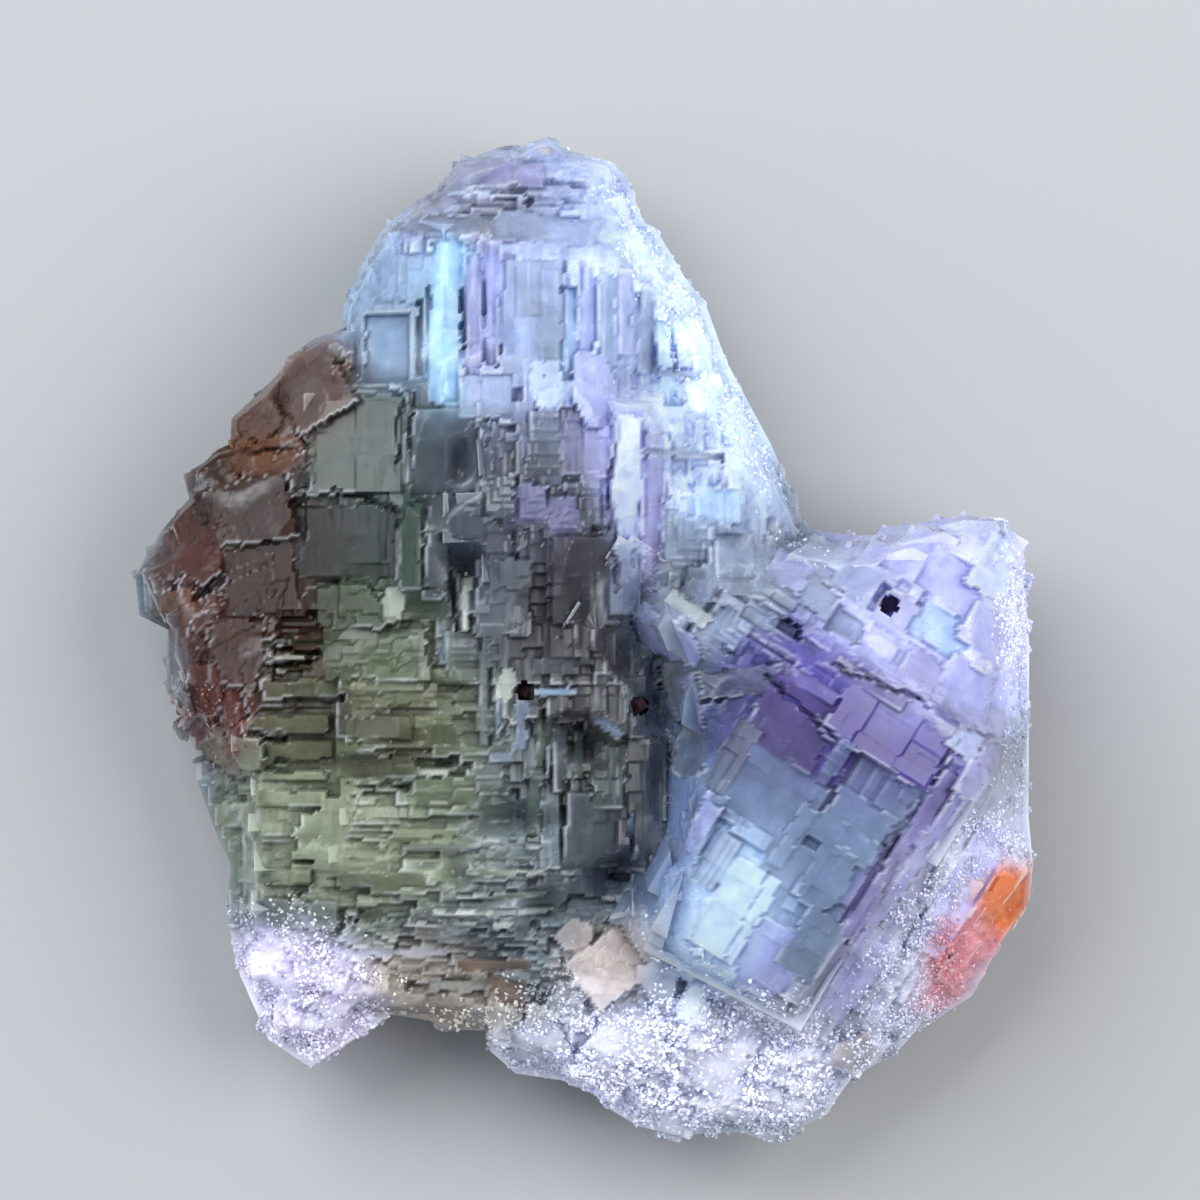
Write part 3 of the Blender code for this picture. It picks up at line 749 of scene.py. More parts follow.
@dataclass(frozen=True)
class GrainFinish:
    """Dark red-black mineral grains.

    Attributes:
        name: Name of the material.
        colour: Colour of the pale patches.
        deep: Colour of the dark ones.
        mottle: Grain in millimetres, detail and roughness of the patches.
        mottle_band: Noise values between which one turns into the other.
        bump_strength: Strength of the bump.
        bump_depth: Its depth in metres.
        rough: Least roughness.
        mottle_rough: What the patches add to it.
        refraction: Index of refraction.
    """

    name: str = "dark_red_mineral"
    colour: Colour = paint(52, 12, 14)
    deep: Colour = paint(14, 6, 8)
    mottle: tuple[float, float, float] = (0.35, 3.0, 0.6)
    mottle_band: Point = (0.35, 0.65)
    bump_strength: float = 0.5
    bump_depth: float = 0.00012
    rough: float = 0.18
    mottle_rough: float = 0.25
    refraction: float = 1.8

    def make(self) -> bpy.types.Material:
        """Builds the material.

        Returns:
            The material.
        """
        g = Graph(self.name)
        mottle = g.noise(*self.mottle)
        surface = g.principled(
            {
                "Base Color": g.mixed(mottle.eased(*self.mottle_band), self.deep, self.colour),
                "Roughness": self.rough + mottle * self.mottle_rough,
                "Normal": g.bump(mottle, self.bump_strength, self.bump_depth),
                "IOR": self.refraction,
            }
        )
        return g.finish(surface)


# ---------------------------------------------------------------- studio

LIGHTS = (
    ("key_right", (0.44, 0.10, 0.50), 0.50, 7.0, (1.0, 0.99, 0.97)),
    ("overhead", (-0.34, 0.46, 0.66), 0.62, 11.0, (0.97, 0.99, 1.0)),
    ("fill_left", (-0.50, 0.05, 0.34), 0.55, 3.0, (0.90, 0.94, 1.0)),
)


@dataclass
class Studio:
    """Pale floor, soft lights and the camera.

    Attributes:
        floor_reach: Edge of the floor in metres.
        floor_colour: Its colour.
        floor_rough: Its roughness.
        camera_height: Height of the camera in metres.
        lens: Its focal length in millimetres.
        sensor: Width of its sensor in millimetres.
        nearest: Its near clipping distance in metres.
        aim: Plan point under it.
        exposure: Exposure of the picture.
        bounces: Bounces of light in all.
        clear_bounces: Bounces of light through the crystal.
        sky_colour: Colour of the dim sky.
        sky_strength: Its strength.
    """

    floor_reach: float = 3.0
    floor_colour: Colour = paint(140, 142, 145)
    floor_rough: float = 0.7
    camera_height: float = 0.508
    lens: float = 200.0
    sensor: float = 36.0
    nearest: float = 0.01
    aim: Point = (34.79, 40.44)
    exposure: float = -0.28
    bounces: int = 5
    clear_bounces: int = 4
    sky_colour: Colour = (0.74, 0.77, 0.82)
    sky_strength: float = 0.60

    def make(self) -> None:
        """Builds the whole set."""
        self.lay_floor()
        self.hang_lights()
        self.set_camera()
        scene = bpy.context.scene
        scene.view_settings.view_transform = "Standard"
        scene.view_settings.exposure = self.exposure
        scene.cycles.max_bounces = self.bounces
        scene.cycles.transmission_bounces = self.clear_bounces

    def lay_floor(self) -> None:
        """Lays the pale floor under the specimen."""
        bpy.ops.object.select_all(action="DESELECT")
        bpy.ops.mesh.primitive_plane_add(size=self.floor_reach, location=(0, 0, 0))
        floor = bpy.context.object
        floor.name = "studio_floor"
        g = Graph("studio_floor")
        matte = {"Base Color": (*self.floor_colour, 1.0), "Roughness": self.floor_rough}
        floor.data.materials.append(g.finish(g.principled(matte)))

    def light(
        self, name: str, place: Sequence[float], size: float, power: float, colour: Colour
    ) -> None:
        """Hangs a soft area light that faces the specimen.

        Args:
            name: Name of the light.
            place: Where it hangs, in metres.
            size: Edge of its square.
            power: Its power in watts.
            colour: Its linear colour.
        """
        data = bpy.data.lights.new(name, "AREA")
        data.size = size
        data.energy = power
        data.color = colour
        lamp = bpy.data.objects.new(name, data)
        lamp.location = place
        lamp.rotation_euler = Vector(place).to_track_quat("Z", "Y").to_euler()
        bpy.context.scene.collection.objects.link(lamp)

    def hang_lights(self) -> None:
        """Hangs the key, the fills and the dim sky."""
        for light in LIGHTS:
            self.light(*light)
        world = bpy.data.worlds.new("studio_world")
        bpy.context.scene.world = world
        world.use_nodes = True
        back = world.node_tree.nodes["Background"]
        back.inputs["Color"].default_value = (*self.sky_colour, 1.0)
        back.inputs["Strength"].default_value = self.sky_strength

    def set_camera(self) -> None:
        """Sets the camera straight above, with the plan's top at the top."""
        data = bpy.data.cameras.new("studio_camera")
        data.lens = self.lens
        data.sensor_width = self.sensor
        data.clip_start = self.nearest
        camera = bpy.data.objects.new("studio_camera", data)
        camera.location = at(*self.aim) + Vector((0.0, 0.0, self.camera_height))
        bpy.context.scene.collection.objects.link(camera)
        bpy.context.scene.camera = camera


# ---------------------------------------------------------------- growth blocks


class Habit(Enum):
    """Shapes that the blocks and the plates come in."""

    SLAB = "slab"
    STAIR = "stair"
    CORNER = "corner"
    SHARD = "shard"
    ROOF = "roof"
    CHIP = "chip"
    KITE = "kite"


class Bench:
    """Models one shape in edit mode, on faces picked by where they are or point."""

    def __init__(self, name: str) -> None:
        """Starts from a unit cube whose top is at height 0.

        Args:
            name: Name of the shape.
        """
        if bpy.context.object and bpy.context.object.mode == "EDIT":
            bpy.ops.object.mode_set(mode="OBJECT")
        bpy.ops.object.select_all(action="DESELECT")
        bpy.ops.mesh.primitive_cube_add(size=1.0, location=(0.0, 0.0, -0.5))
        self.shape = bpy.context.object
        self.shape.name = name
        bpy.ops.object.transform_apply(location=True, rotation=True, scale=True)
        bpy.ops.object.mode_set(mode="EDIT")
        bpy.ops.mesh.select_mode(type="FACE")

    def pick(self, test: Callable[[bmesh.types.BMFace], bool]) -> Bench:
        """Selects the faces that pass a test.

        Args:
            test: Says whether a face is picked.

        Returns:
            This bench.
        """
        bm = bmesh.from_edit_mesh(self.shape.data)
        bm.normal_update()
        for face in bm.faces:
            face.select_set(bool(test(face)))
        bm.select_flush(True)
        bmesh.update_edit_mesh(self.shape.data)
        return self

    def pick_top(self, left: float = -9.0, low: float = -9.0) -> Bench:
        """Selects faces that point up, right of and above the given lines."""
        return self.pick(
            lambda f: f.normal.z > 0.9
            and f.calc_center_median().x > left
            and f.calc_center_median().y > low
        )

    def inset(self, width: float) -> Bench:
        """Insets the picked faces."""
        bpy.ops.mesh.inset(thickness=width, depth=0.0)
        return self

    def raise_by(self, x: float, y: float, z: float) -> Bench:
        """Extrudes the picked faces and moves them."""
        bpy.ops.mesh.extrude_region_move(TRANSFORM_OT_translate={"value": (x, y, z)})
        return self

    def slide(self, x: float, y: float, z: float) -> Bench:
        """Moves the picked faces."""
        bpy.ops.transform.translate(value=(x, y, z))
        return self

    def split(self, place: Sequence[float], normal: Sequence[float], cut: bool = False) -> Bench:
        """Cuts the whole shape by a plane.

        Args:
            place: A point on the plane.
            normal: Its normal.
            cut: Whether what lies past the plane goes, and the cut is closed.

        Returns:
            This bench.
        """
        bpy.ops.mesh.select_all(action="SELECT")
        bpy.ops.mesh.bisect(plane_co=place, plane_no=normal, clear_outer=cut, use_fill=cut)
        return self

    def done(self) -> bpy.types.Mesh:
        """Leaves edit mode and hands over the mesh.

        Returns:
            The modelled mesh, triangulated.
        """
        bpy.ops.mesh.select_all(action="SELECT")
        bpy.ops.mesh.quads_convert_to_tris()
        bpy.ops.object.mode_set(mode="OBJECT")
        mesh = self.shape.data
        bpy.data.objects.remove(self.shape)
        mark(mesh, "tone")
        mark(mesh, "skin")
        return mesh


class BlockKit:
    """The growth blocks, each modelled once, with its steps in the head of its height.

    Attributes:
        head: Share of a block's height that holds its steps.
        meshes: The mesh of each block.
    """

    head: float = 0.4

    def __init__(self) -> None:
        """Models each block."""
        self.meshes = {
            Habit.SLAB: self.slab(),
            Habit.STAIR: self.stair(),
            Habit.CORNER: self.corner(),
            Habit.CHIP: self.chip(),
        }

    def slab(self) -> bpy.types.Mesh:
        """A flat plate with one corner broken off and a low raised field.

        Returns:
            The mesh.
        """
        bench = Bench("slab").pick_top().slide(0.0, 0.0, -0.10)
        bench.inset(0.09).slide(-0.03, 0.03, 0.0).raise_by(0.0, 0.0, 0.10)
        return bench.split((0.40, 0.30, 0.0), (0.75, 0.62, 0.10), True).done()

    def stair(self) -> bpy.types.Mesh:
        """Straight steps that climb to one side.

        Returns:
            The mesh.
        """
        bench = Bench("stair").pick_top().slide(0.0, 0.0, -0.36)
        for line, up in ((-0.28, 0.14), (-0.02, 0.12), (0.20, 0.10)):
            bench.split((line, 0.0, 0.0), (1.0, 0.0, 0.0))
            bench.pick_top(left=line).raise_by(0.0, 0.0, up)
        return bench.done()

    def corner(self) -> bpy.types.Mesh:
        """Nested right-angled steps that climb to one corner.

        Returns:
            The mesh.
        """
        bench = Bench("corner").pick_top().slide(0.0, 0.0, -0.34)
        for line, up in ((-0.30, 0.13), (-0.08, 0.12), (0.14, 0.09)):
            bench.split((line, 0.0, 0.0), (1.0, 0.0, 0.0))
            bench.split((0.0, line + 0.05, 0.0), (0.0, 1.0, 0.0))
            bench.pick_top(left=line, low=line + 0.05).raise_by(0.0, 0.0, up)
        return bench.done()

    def chip(self) -> bpy.types.Mesh:
        """A small block with two corners off."""
        bench = Bench("chip").split((0.32, 0.32, -0.12), (0.6, 0.55, 0.6), True)
        return bench.split((-0.38, -0.3, -0.1), (-0.7, -0.3, 0.55), True).done()


@dataclass(frozen=True)
class Lattice:
    """The way that one crystal's cubes lie.

    Attributes:
        roll: Turn about Y in degrees.
        nod: Turn about X in degrees.
        turn: Turn about Z in degrees.
    """

    roll: float
    nod: float
    turn: float

    def axes(self) -> Matrix:
        """The cube axes as the columns of a turn."""
        return (
            Matrix.Rotation(math.radians(self.turn), 3, "Z")
            @ Matrix.Rotation(math.radians(self.nod), 3, "X")
            @ Matrix.Rotation(math.radians(self.roll), 3, "Y")
        )


@dataclass(frozen=True)
class Growth:
    """How the steps of a zone grow, in millimetres along its lattice.

    Attributes:
        cell: Usual width and length of a brick.
        patch: Width and length of the patches that grow together.
        gap: Height of a growth step.
        swing: How far the heights of the patches swing.
        fine_cell: Usual width and length of a fine brick.
        fine_gap: Height of a fine step.
        fine_share: Share of the zone that has fine steps.
        frost: How frosty the zone is.
    """

    cell: Point
    patch: Point
    gap: float
    swing: float
    fine_cell: Point
    fine_gap: float = 0.10
    fine_share: float = 0.35
    frost: float = 0.0


@dataclass(frozen=True)
class Region:
    """A zone of the face that grows in its own way.

    Attributes:
        name: Its name.
        corners: Its outline on the plan.
        lattice: The way that its cubes lie.
        growth: How its steps grow.
    """

    name: str
    corners: tuple[Point, ...]
    lattice: Lattice
    growth: Growth

    def mask(self, x: np.ndarray, y: np.ndarray) -> np.ndarray:
        """Which plan points lie in the zone.

        Args:
            x: Plan x of each point.
            y: Plan y of each point.

        Returns:
            Whether each point does.
        """
        inside = np.zeros(x.shape, dtype=bool)
        ends = self.corners[1:] + self.corners[:1]
        for (ax, ay), (bx, by) in zip(self.corners, ends):
            crosses = (ay > y) != (by > y)
            reach = (bx - ax) * (y - ay) / ((by - ay) or 1e-9) + ax
            inside ^= crosses & (x < reach)
        return inside


SPIRE = Lattice(13, 6, -1)
CAP = Lattice(4, 16, -6)
FLANK = Lattice(16, 8, 6)
BODY = Lattice(-4, -4, 1)
MIDDLE = Lattice(7, -9, 2)
LEDGE = Lattice(-3, -8, 2)
PRISM = Lattice(9, -5, 1)
HEM = Lattice(-3, -10, -8)
CUBE = Lattice(4, 5, -32)
JUNCTION = Lattice(-4, 5, -34)
SHINGLE = Lattice(-13, -11, -31)
RIM = Lattice(-16, 6, 24)
BAND = Lattice(14, 12, -33)
FOOT = Lattice(6, -12, -18)
TIP = Lattice(-6, -14, -24)

REGIONS = (
    Region(
        "body_plates",
        ((12.3, 57.4), (22.1, 57.4), (28.0, 55.0), (29.0, 37.4), (10.8, 37.4), (10.3, 46.4)),
        BODY,
        Growth((3.0, 3.2), (9.0, 9.0), 0.20, 0.25, (0.9, 1.1), 0.05, 0.2),
    ),
    Region(
        "crumbled_middle",
        ((24.8, 57.4), (36.8, 56.6), (37.3, 37.4), (26.8, 37.4)),
        MIDDLE,
        Growth((1.1, 1.3), (3.4, 3.8), 0.22, 0.7, (0.5, 0.5), 0.09, 0.45),
    ),
    Region(
        "ledges",
        (
            (8.6, 38.9), (25.6, 38.9), (31.8, 22.4), (31.8, 15.6),
            (7.1, 15.6), (5.2, 25.4), (7.4, 31.0),
        ),
        LEDGE,
        Growth((3.6, 0.6), (7.0, 1.6), 0.22, 0.7, (1.5, 0.4), 0.08, 0.45),
    ),
    Region(
        "prisms",
        ((25.3, 38.4), (38.3, 39.0), (40.1, 19.0), (30.1, 19.0)),
        PRISM,
        Growth((0.9, 3.2), (2.2, 8.0), 0.40, 0.8, (0.45, 1.4), 0.12, 0.45),
    ),
    Region(
        "hem",
        ((14.1, 16.8), (34.8, 17.8), (34.4, 12.4), (26.6, 8.4), (19.0, 8.8)),
        HEM,
        Growth((1.8, 0.6), (4.0, 1.4), 0.40, 1.0, (0.8, 0.35), 0.16, 0.6, 0.5),
    ),
    Region(
        "cube",
        ((51.3, 36.5), (62.8, 29.9), (48.3, 7.6), (37.0, 15.2), (39.8, 20.0), (42.5, 30.0)),
        CUBE,
        Growth((2.2, 4.2), (5.0, 10.0), 0.24, 0.45, (0.8, 1.8), 0.07, 0.3),
    ),
    Region(
        "junction",
        ((36.3, 43.4), (45.3, 44.4), (49.3, 38.4), (45.3, 32.4), (41.8, 30.6), (38.0, 30.6)),
        JUNCTION,
        Growth((1.3, 1.2), (3.4, 3.0), 0.40, 0.9, (0.6, 0.6), 0.12, 0.5),
    ),
    Region(
        "shingles",
        (
            (43.8, 41.1), (48.6, 46.5), (56.0, 46.0), (66, 46.6),
            (66.9, 29.0), (62.2, 30.0), (51.3, 36.4),
        ),
        SHINGLE,
        Growth((2.4, 1.8), (3.4, 2.8), 0.42, 1.3, (0.9, 0.8), 0.12, 0.4, 0.2),
    ),
    Region(
        "right_band",
        (
            (61.0, 31.0), (66.6, 30.0), (66.8, 17.0), (60.4, 8.0),
            (52.0, 3.4), (47.0, 4.0), (49.4, 8.6),
        ),
        BAND,
        Growth((0.9, 1.1), (2.4, 4.0), 0.16, 0.4, (0.35, 0.35), 0.12, 0.8, 0.9),
    ),
    Region(
        "foot",
        (
            (26.6, 8.4), (36.8, 15.9), (44.3, 11.4), (50.6, 6.9),
            (52.6, 3.9), (46.3, 0.6), (37.8, 1.2), (27.3, 5.2),
        ),
        FOOT,
        Growth((1.1, 1.0), (2.4, 2.2), 0.30, 1.0, (0.5, 0.5), 0.12, 0.9, 1.0),
    ),
    Region(
        "tip",
        ((7.0, 16.6), (20.0, 16.2), (18.4, 9.6), (13.2, 6.4), (10.1, 7.6)),
        TIP,
        Growth((1.1, 1.0), (2.4, 2.2), 0.28, 0.9, (0.5, 0.5), 0.12, 0.9, 1.0),
    ),
    Region(
        "rim",
        (
            (12.0, 60.0), (15.9, 59.9), (13.1, 47.9), (9.9, 32.9), (5.8, 25.4),
            (4.2, 27.4), (0.9, 39.4), (3.6, 48.4), (7.0, 54.0),
        ),
        RIM,
        Growth((1.5, 1.4), (3.6, 3.2), 0.34, 1.3, (0.6, 0.6), 0.14, 0.5, 0.2),
    ),
    Region(
        "spire_flank",
        (
            (35.6, 70.4), (37.8, 69.3), (42.3, 62.1), (49.5, 47.0),
            (50.0, 45.0), (44.0, 41.0), (37.8, 41.4), (36.3, 53.9),
        ),
        FLANK,
        Growth((0.8, 2.0), (2.2, 5.0), 0.26, 0.8, (0.4, 0.8), 0.14, 0.6, 0.4),
    ),
    Region(
        "spire_columns",
        (
            (16.1, 66.6), (22.8, 69.3), (35.6, 66.6), (38.8, 62.0),
            (36.7, 53.1), (22.1, 53.1), (16.1, 59.0),
        ),
        SPIRE,
        Growth((0.8, 5.0), (1.8, 14.0), 0.30, 0.8, (0.4, 2.2), 0.12, 0.45),
    ),
    Region(
        "spire_cap",
        (
            (20.5, 68.0), (23.5, 72.8), (26.5, 74.2), (31.8, 74.1),
            (36.3, 72.6), (39.3, 65.9), (22.8, 66.4),
        ),
        CAP,
        Growth((2.2, 0.8), (5.0, 1.8), 0.40, 0.9, (0.7, 0.45), 0.14, 0.6, 0.4),
    ),
)


class Hue(Enum):
    """Colours of the listed plates, as a display shows them."""

    SOOT = (60, 60, 56)
    UMBER = (76, 72, 56)
    SMOKE = (74, 74, 80)
    SLATE = (108, 116, 124)
    SAGE = (70, 86, 80)
    MOSS = (78, 94, 72)
    OLIVE = (120, 126, 106)
    STRAW = (154, 161, 140)
    PEARL = (206, 214, 206)
    STEEL = (144, 160, 184)
    SKY = (174, 208, 240)
    ICE = (206, 224, 250)
    LILAC = (182, 186, 236)
    MAUVE = (148, 144, 188)
    VIOLET = (100, 90, 160)
    DUSK = (108, 98, 134)
    SNOW = (214, 217, 236)
    TAN = (178, 164, 154)
    SHELL = (214, 203, 202)
    MOCHA = (98, 80, 74)
    RUST = (96, 54, 46)
    COFFEE = (74, 54, 46)
    AMBER = (122, 84, 58)
    ROSE = (192, 138, 146)
    FLAME = (198, 120, 76)


@dataclass(frozen=True)
class Plate:
    """A plate that is set on the face.

    Attributes:
        spot: Its middle on the plan.
        size: Its width and length.
        turn: Its turn in degrees.
        lift: How far it stands out, before half of it is taken off.
        shade: Its colour.
        habit: Its shape.
        quarter: Which way it points, counted in quarter turns.
        ragged: How ragged its edges are.
        kite: Slopes across and along, and both limits, of the cut corners of a kite.
        shard: Width of a shard at its middle, and how fast it narrows.
        ridge: Height, place, slope and greatest slope of a roof.
        stair: Steps in half a plate, and the height of each.
    """

    spot: Point
    size: Point
    turn: float
    lift: float
    shade: Hue
    habit: Habit = Habit.SLAB
    quarter: int = 0
    ragged: float = 0.28
    kite: ClassVar[tuple[float, ...]] = (0.9, 0.55, 1.02, 1.5)
    shard: ClassVar[Point] = (0.95, 0.62)
    ridge: ClassVar[tuple[float, ...]] = (0.55, 0.25, 0.30, 0.7)
    stair: ClassVar[Point] = (2.5, 0.13)

    def outline(self, u: np.ndarray, v: np.ndarray, ragged: np.ndarray) -> np.ndarray:
        """Which points lie on the plate.

        Args:
            u: Place across it, from -1 to 1.
            v: Place along it, from -1 to 1.
            ragged: How far its edge moves at each point.

        Returns:
            Whether each point does.
        """
        wide, tall = (ragged / side for side in self.size)
        part = (np.abs(u) < 1 + 2 * wide) & (np.abs(v) < 1 + 2 * tall)
        if self.habit is Habit.KITE:
            across, along, most, corner = self.kite
            part &= (np.abs(u * across + v * along) < most) & (u - v < corner)
        if self.habit is Habit.SHARD:
            middle, slope = self.shard
            part &= np.abs(u) < middle - slope * v * (1 if self.quarter % 2 else -1)
        return part

    def steps(self, u: np.ndarray, v: np.ndarray) -> np.ndarray:
        """What the plate's own shape adds to its height.

        Args:
            u: Place across it, from -1 to 1.
            v: Place along it, from -1 to 1.

        Returns:
            Millimetres at each point.
        """
        if self.habit is Habit.ROOF:
            high, off, slope, most = self.ridge
            return (high - np.abs(u + off)) * min(slope * self.size[0], most)
        if self.habit not in (Habit.STAIR, Habit.CORNER):
            return np.zeros_like(u)
        along = v if self.quarter % 2 else u
        if self.habit is Habit.CORNER:
            along = np.minimum(u, v)
        return np.floor(along * self.stair[0]) * self.stair[1]


@dataclass(frozen=True)
class Crack:
    """A narrow opening between two plates.

    Attributes:
        ends: Both of its ends on the plan.
        gap: Its width in millimetres.
        deep: Its depth in millimetres.
    """

    ends: tuple[Point, Point]
    gap: float = 0.22
    deep: float = 0.7


def column(x: float, low: float, high: float, wide: float, shade: Hue, **more: object) -> Plate:
    """An upright plate of the spire or of the prisms.

    Args:
        x: Its middle line.
        low: Its lower end.
        high: Its upper end.
        wide: Its width.
        shade: Its colour.
        more: Any other value of the plate.

    Returns:
        The plate.
    """
    values = {"turn": -1.0, "lift": 0.5, "habit": Habit.ROOF, **more}
    return Plate((x, (low + high) / 2), (wide, high - low), shade=shade, **values)


BAR_SHARE = 0.66


def bar(left: float, right: float, y: float, tall: float, shade: Hue, **more: object) -> Plate:
    """A level plate of the ledges.

    Args:
        left: Its left end.
        right: Its right end.
        y: Its middle line.
        tall: The height of its band, of which it takes BAR_SHARE.
        shade: Its colour.
        more: Any other value of the plate.

    Returns:
        The plate.
    """
    values = {"turn": 1.0, "lift": 0.4, **more}
    return Plate(((left + right) / 2, y), (right - left, tall * BAR_SHARE), shade=shade, **values)


def tilted(x: float, y: float, wide: float, tall: float, shade: Hue, **more: object) -> Plate:
    """A plate of the turned cube or of the block above it.

    Args:
        x: Middle, to the right.
        y: Middle, upwards.
        wide: Its width across the cube.
        tall: Its length along the cube.
        shade: Its colour.
        more: Any other value of the plate.

    Returns:
        The plate.
    """
    values = {"turn": -32.0, "lift": 0.3, **more}
    return Plate((x, y), (wide, tall), shade=shade, **values)


SPIRE_PLATES = (
    Plate((20.0, 61.2), (6.6, 9.6), -1, 0.3, Hue.STEEL),
    Plate((19.2, 59.0), (3.4, 5.0), 0, 0.7, Hue.STEEL),
    column(21.6, 56.8, 62.4, 0.5, Hue.SMOKE, habit=Habit.SLAB),
    column(22.3, 56.6, 63.4, 0.4, Hue.ICE, habit=Habit.SLAB, lift=0.8),
    column(23.5, 54.8, 66.6, 2.3, Hue.SKY, lift=0.55),
    column(25.6, 56.2, 65.4, 1.2, Hue.MAUVE, lift=0.35),
    column(26.9, 57.4, 66.6, 1.0, Hue.LILAC, lift=0.6),
    column(28.0, 58.4, 66.0, 0.7, Hue.MAUVE, lift=0.4),
    column(29.9, 55.8, 65.2, 4.2, Hue.STEEL, lift=0.9),
    column(32.5, 56.4, 63.0, 1.0, Hue.SKY),
    column(33.9, 58.6, 64.8, 1.2, Hue.LILAC, lift=0.6),
    column(35.3, 57.8, 64.2, 1.1, Hue.STEEL),
    column(36.6, 58.2, 64.6, 1.2, Hue.LILAC, lift=0.7),
    column(38.2, 57.0, 63.6, 1.1, Hue.STEEL),
    column(39.6, 54.6, 61.0, 1.1, Hue.SKY, lift=0.6, turn=8.0),
    Plate((34.4, 55.7), (3.2, 5.4), 4, 0.8, Hue.LILAC, Habit.KITE),
    Plate((31.0, 56.0), (2.5, 3.4), -4, 0.9, Hue.ICE, Habit.KITE),
    Plate((26.5, 55.2), (4.0, 3.2), 0, 0.4, Hue.STEEL),
    column(36.7, 39.4, 53.8, 2.2, Hue.ICE, habit=Habit.SLAB, lift=0.9),
    column(38.6, 41.0, 53.0, 1.1, Hue.MAUVE, lift=0.6),
    bar(37.8, 44.0, 51.0, 1.1, Hue.SLATE, turn=-4.0, lift=0.5),
    bar(39.0, 42.6, 57.0, 0.9, Hue.SLATE, turn=-6.0, lift=0.5),
    Plate((43.4, 47.4), (3.6, 2.4), -6, 0.6, Hue.SKY),
    Plate((41.0, 44.8), (3.2, 3.6), 2, 0.4, Hue.STEEL, Habit.CORNER),
    Plate((44.6, 43.6), (3.0, 3.4), 0, 0.4, Hue.STEEL),
    bar(22.8, 30.6, 72.0, 2.6, Hue.MAUVE, turn=-4.0, lift=0.5),
    bar(23.6, 29.4, 70.2, 0.5, Hue.ICE, turn=-4.0, lift=0.9),
    bar(19.6, 28.2, 68.0, 2.2, Hue.SLATE, turn=-6.0),
    bar(27.0, 34.6, 67.6, 3.4, Hue.STEEL, turn=-8.0, lift=0.5),
    Plate((30.8, 74.2), (3.0, 1.5), -4, 0.4, Hue.TAN, Habit.SHARD),
)
BODY_PLATES = (
    Plate((17.0, 51.8), (7.4, 7.2), 0, 0.35, Hue.SAGE),
    Plate((22.1, 54.2), (2.8, 4.2), 0, 0.35, Hue.SMOKE),
    Plate((23.5, 51.2), (4.6, 6.2), 0, 0.15, Hue.SLATE),
    Plate((15.4, 44.7), (9.2, 5.4), 1, 0.45, Hue.SMOKE),
    Plate((21.0, 44.2), (2.2, 6.2), 0, 0.75, Hue.SAGE),
    Plate((22.9, 42.9), (1.9, 5.0), 0, 0.45, Hue.SLATE),
    Plate((19.7, 40.0), (1.7, 2.6), -14, 0.9, Hue.PEARL, Habit.KITE),
    Plate((16.5, 39.5), (5.2, 4.0), 0, 0.3, Hue.MOSS, Habit.KITE),
    Plate((18.6, 36.5), (8.0, 3.8), 0, 0.45, Hue.MOSS),
    bar(16.6, 22.0, 34.1, 1.0, Hue.OLIVE, lift=0.55),
    column(24.3, 38.2, 42.2, 0.6, Hue.SOOT, habit=Habit.SLAB, lift=0.6),
    column(25.0, 38.2, 42.0, 0.5, Hue.PEARL, habit=Habit.SLAB, lift=0.9),
    column(22.5, 35.6, 38.8, 0.7, Hue.SOOT, habit=Habit.SLAB, lift=0.6),
    column(23.3, 35.7, 38.8, 0.45, Hue.STEEL, habit=Habit.SLAB, lift=0.9),
    Plate((27.8, 40.6), (4.0, 5.6), 0, 0.3, Hue.SLATE),
    Plate((27.4, 48.0), (2.4, 2.8), 6, 0.4, Hue.SLATE, Habit.CORNER),
    Plate((29.8, 47.4), (2.4, 2.8), 4, 0.6, Hue.MAUVE, Habit.CORNER),
    Plate((32.2, 46.6), (2.3, 2.6), 8, 0.6, Hue.MAUVE, Habit.CORNER),
    Plate((30.8, 51.8), (2.3, 4.6), 0, 0.5, Hue.SLATE, Habit.STAIR, 1),
    Plate((32.8, 52.0), (1.7, 5.0), 0, 0.5, Hue.DUSK),
    Plate((34.6, 51.2), (1.9, 3.8), 0, 0.6, Hue.MAUVE),
    Plate((33.8, 41.8), (4.8, 6.4), 0, 0.1, Hue.SMOKE),
)
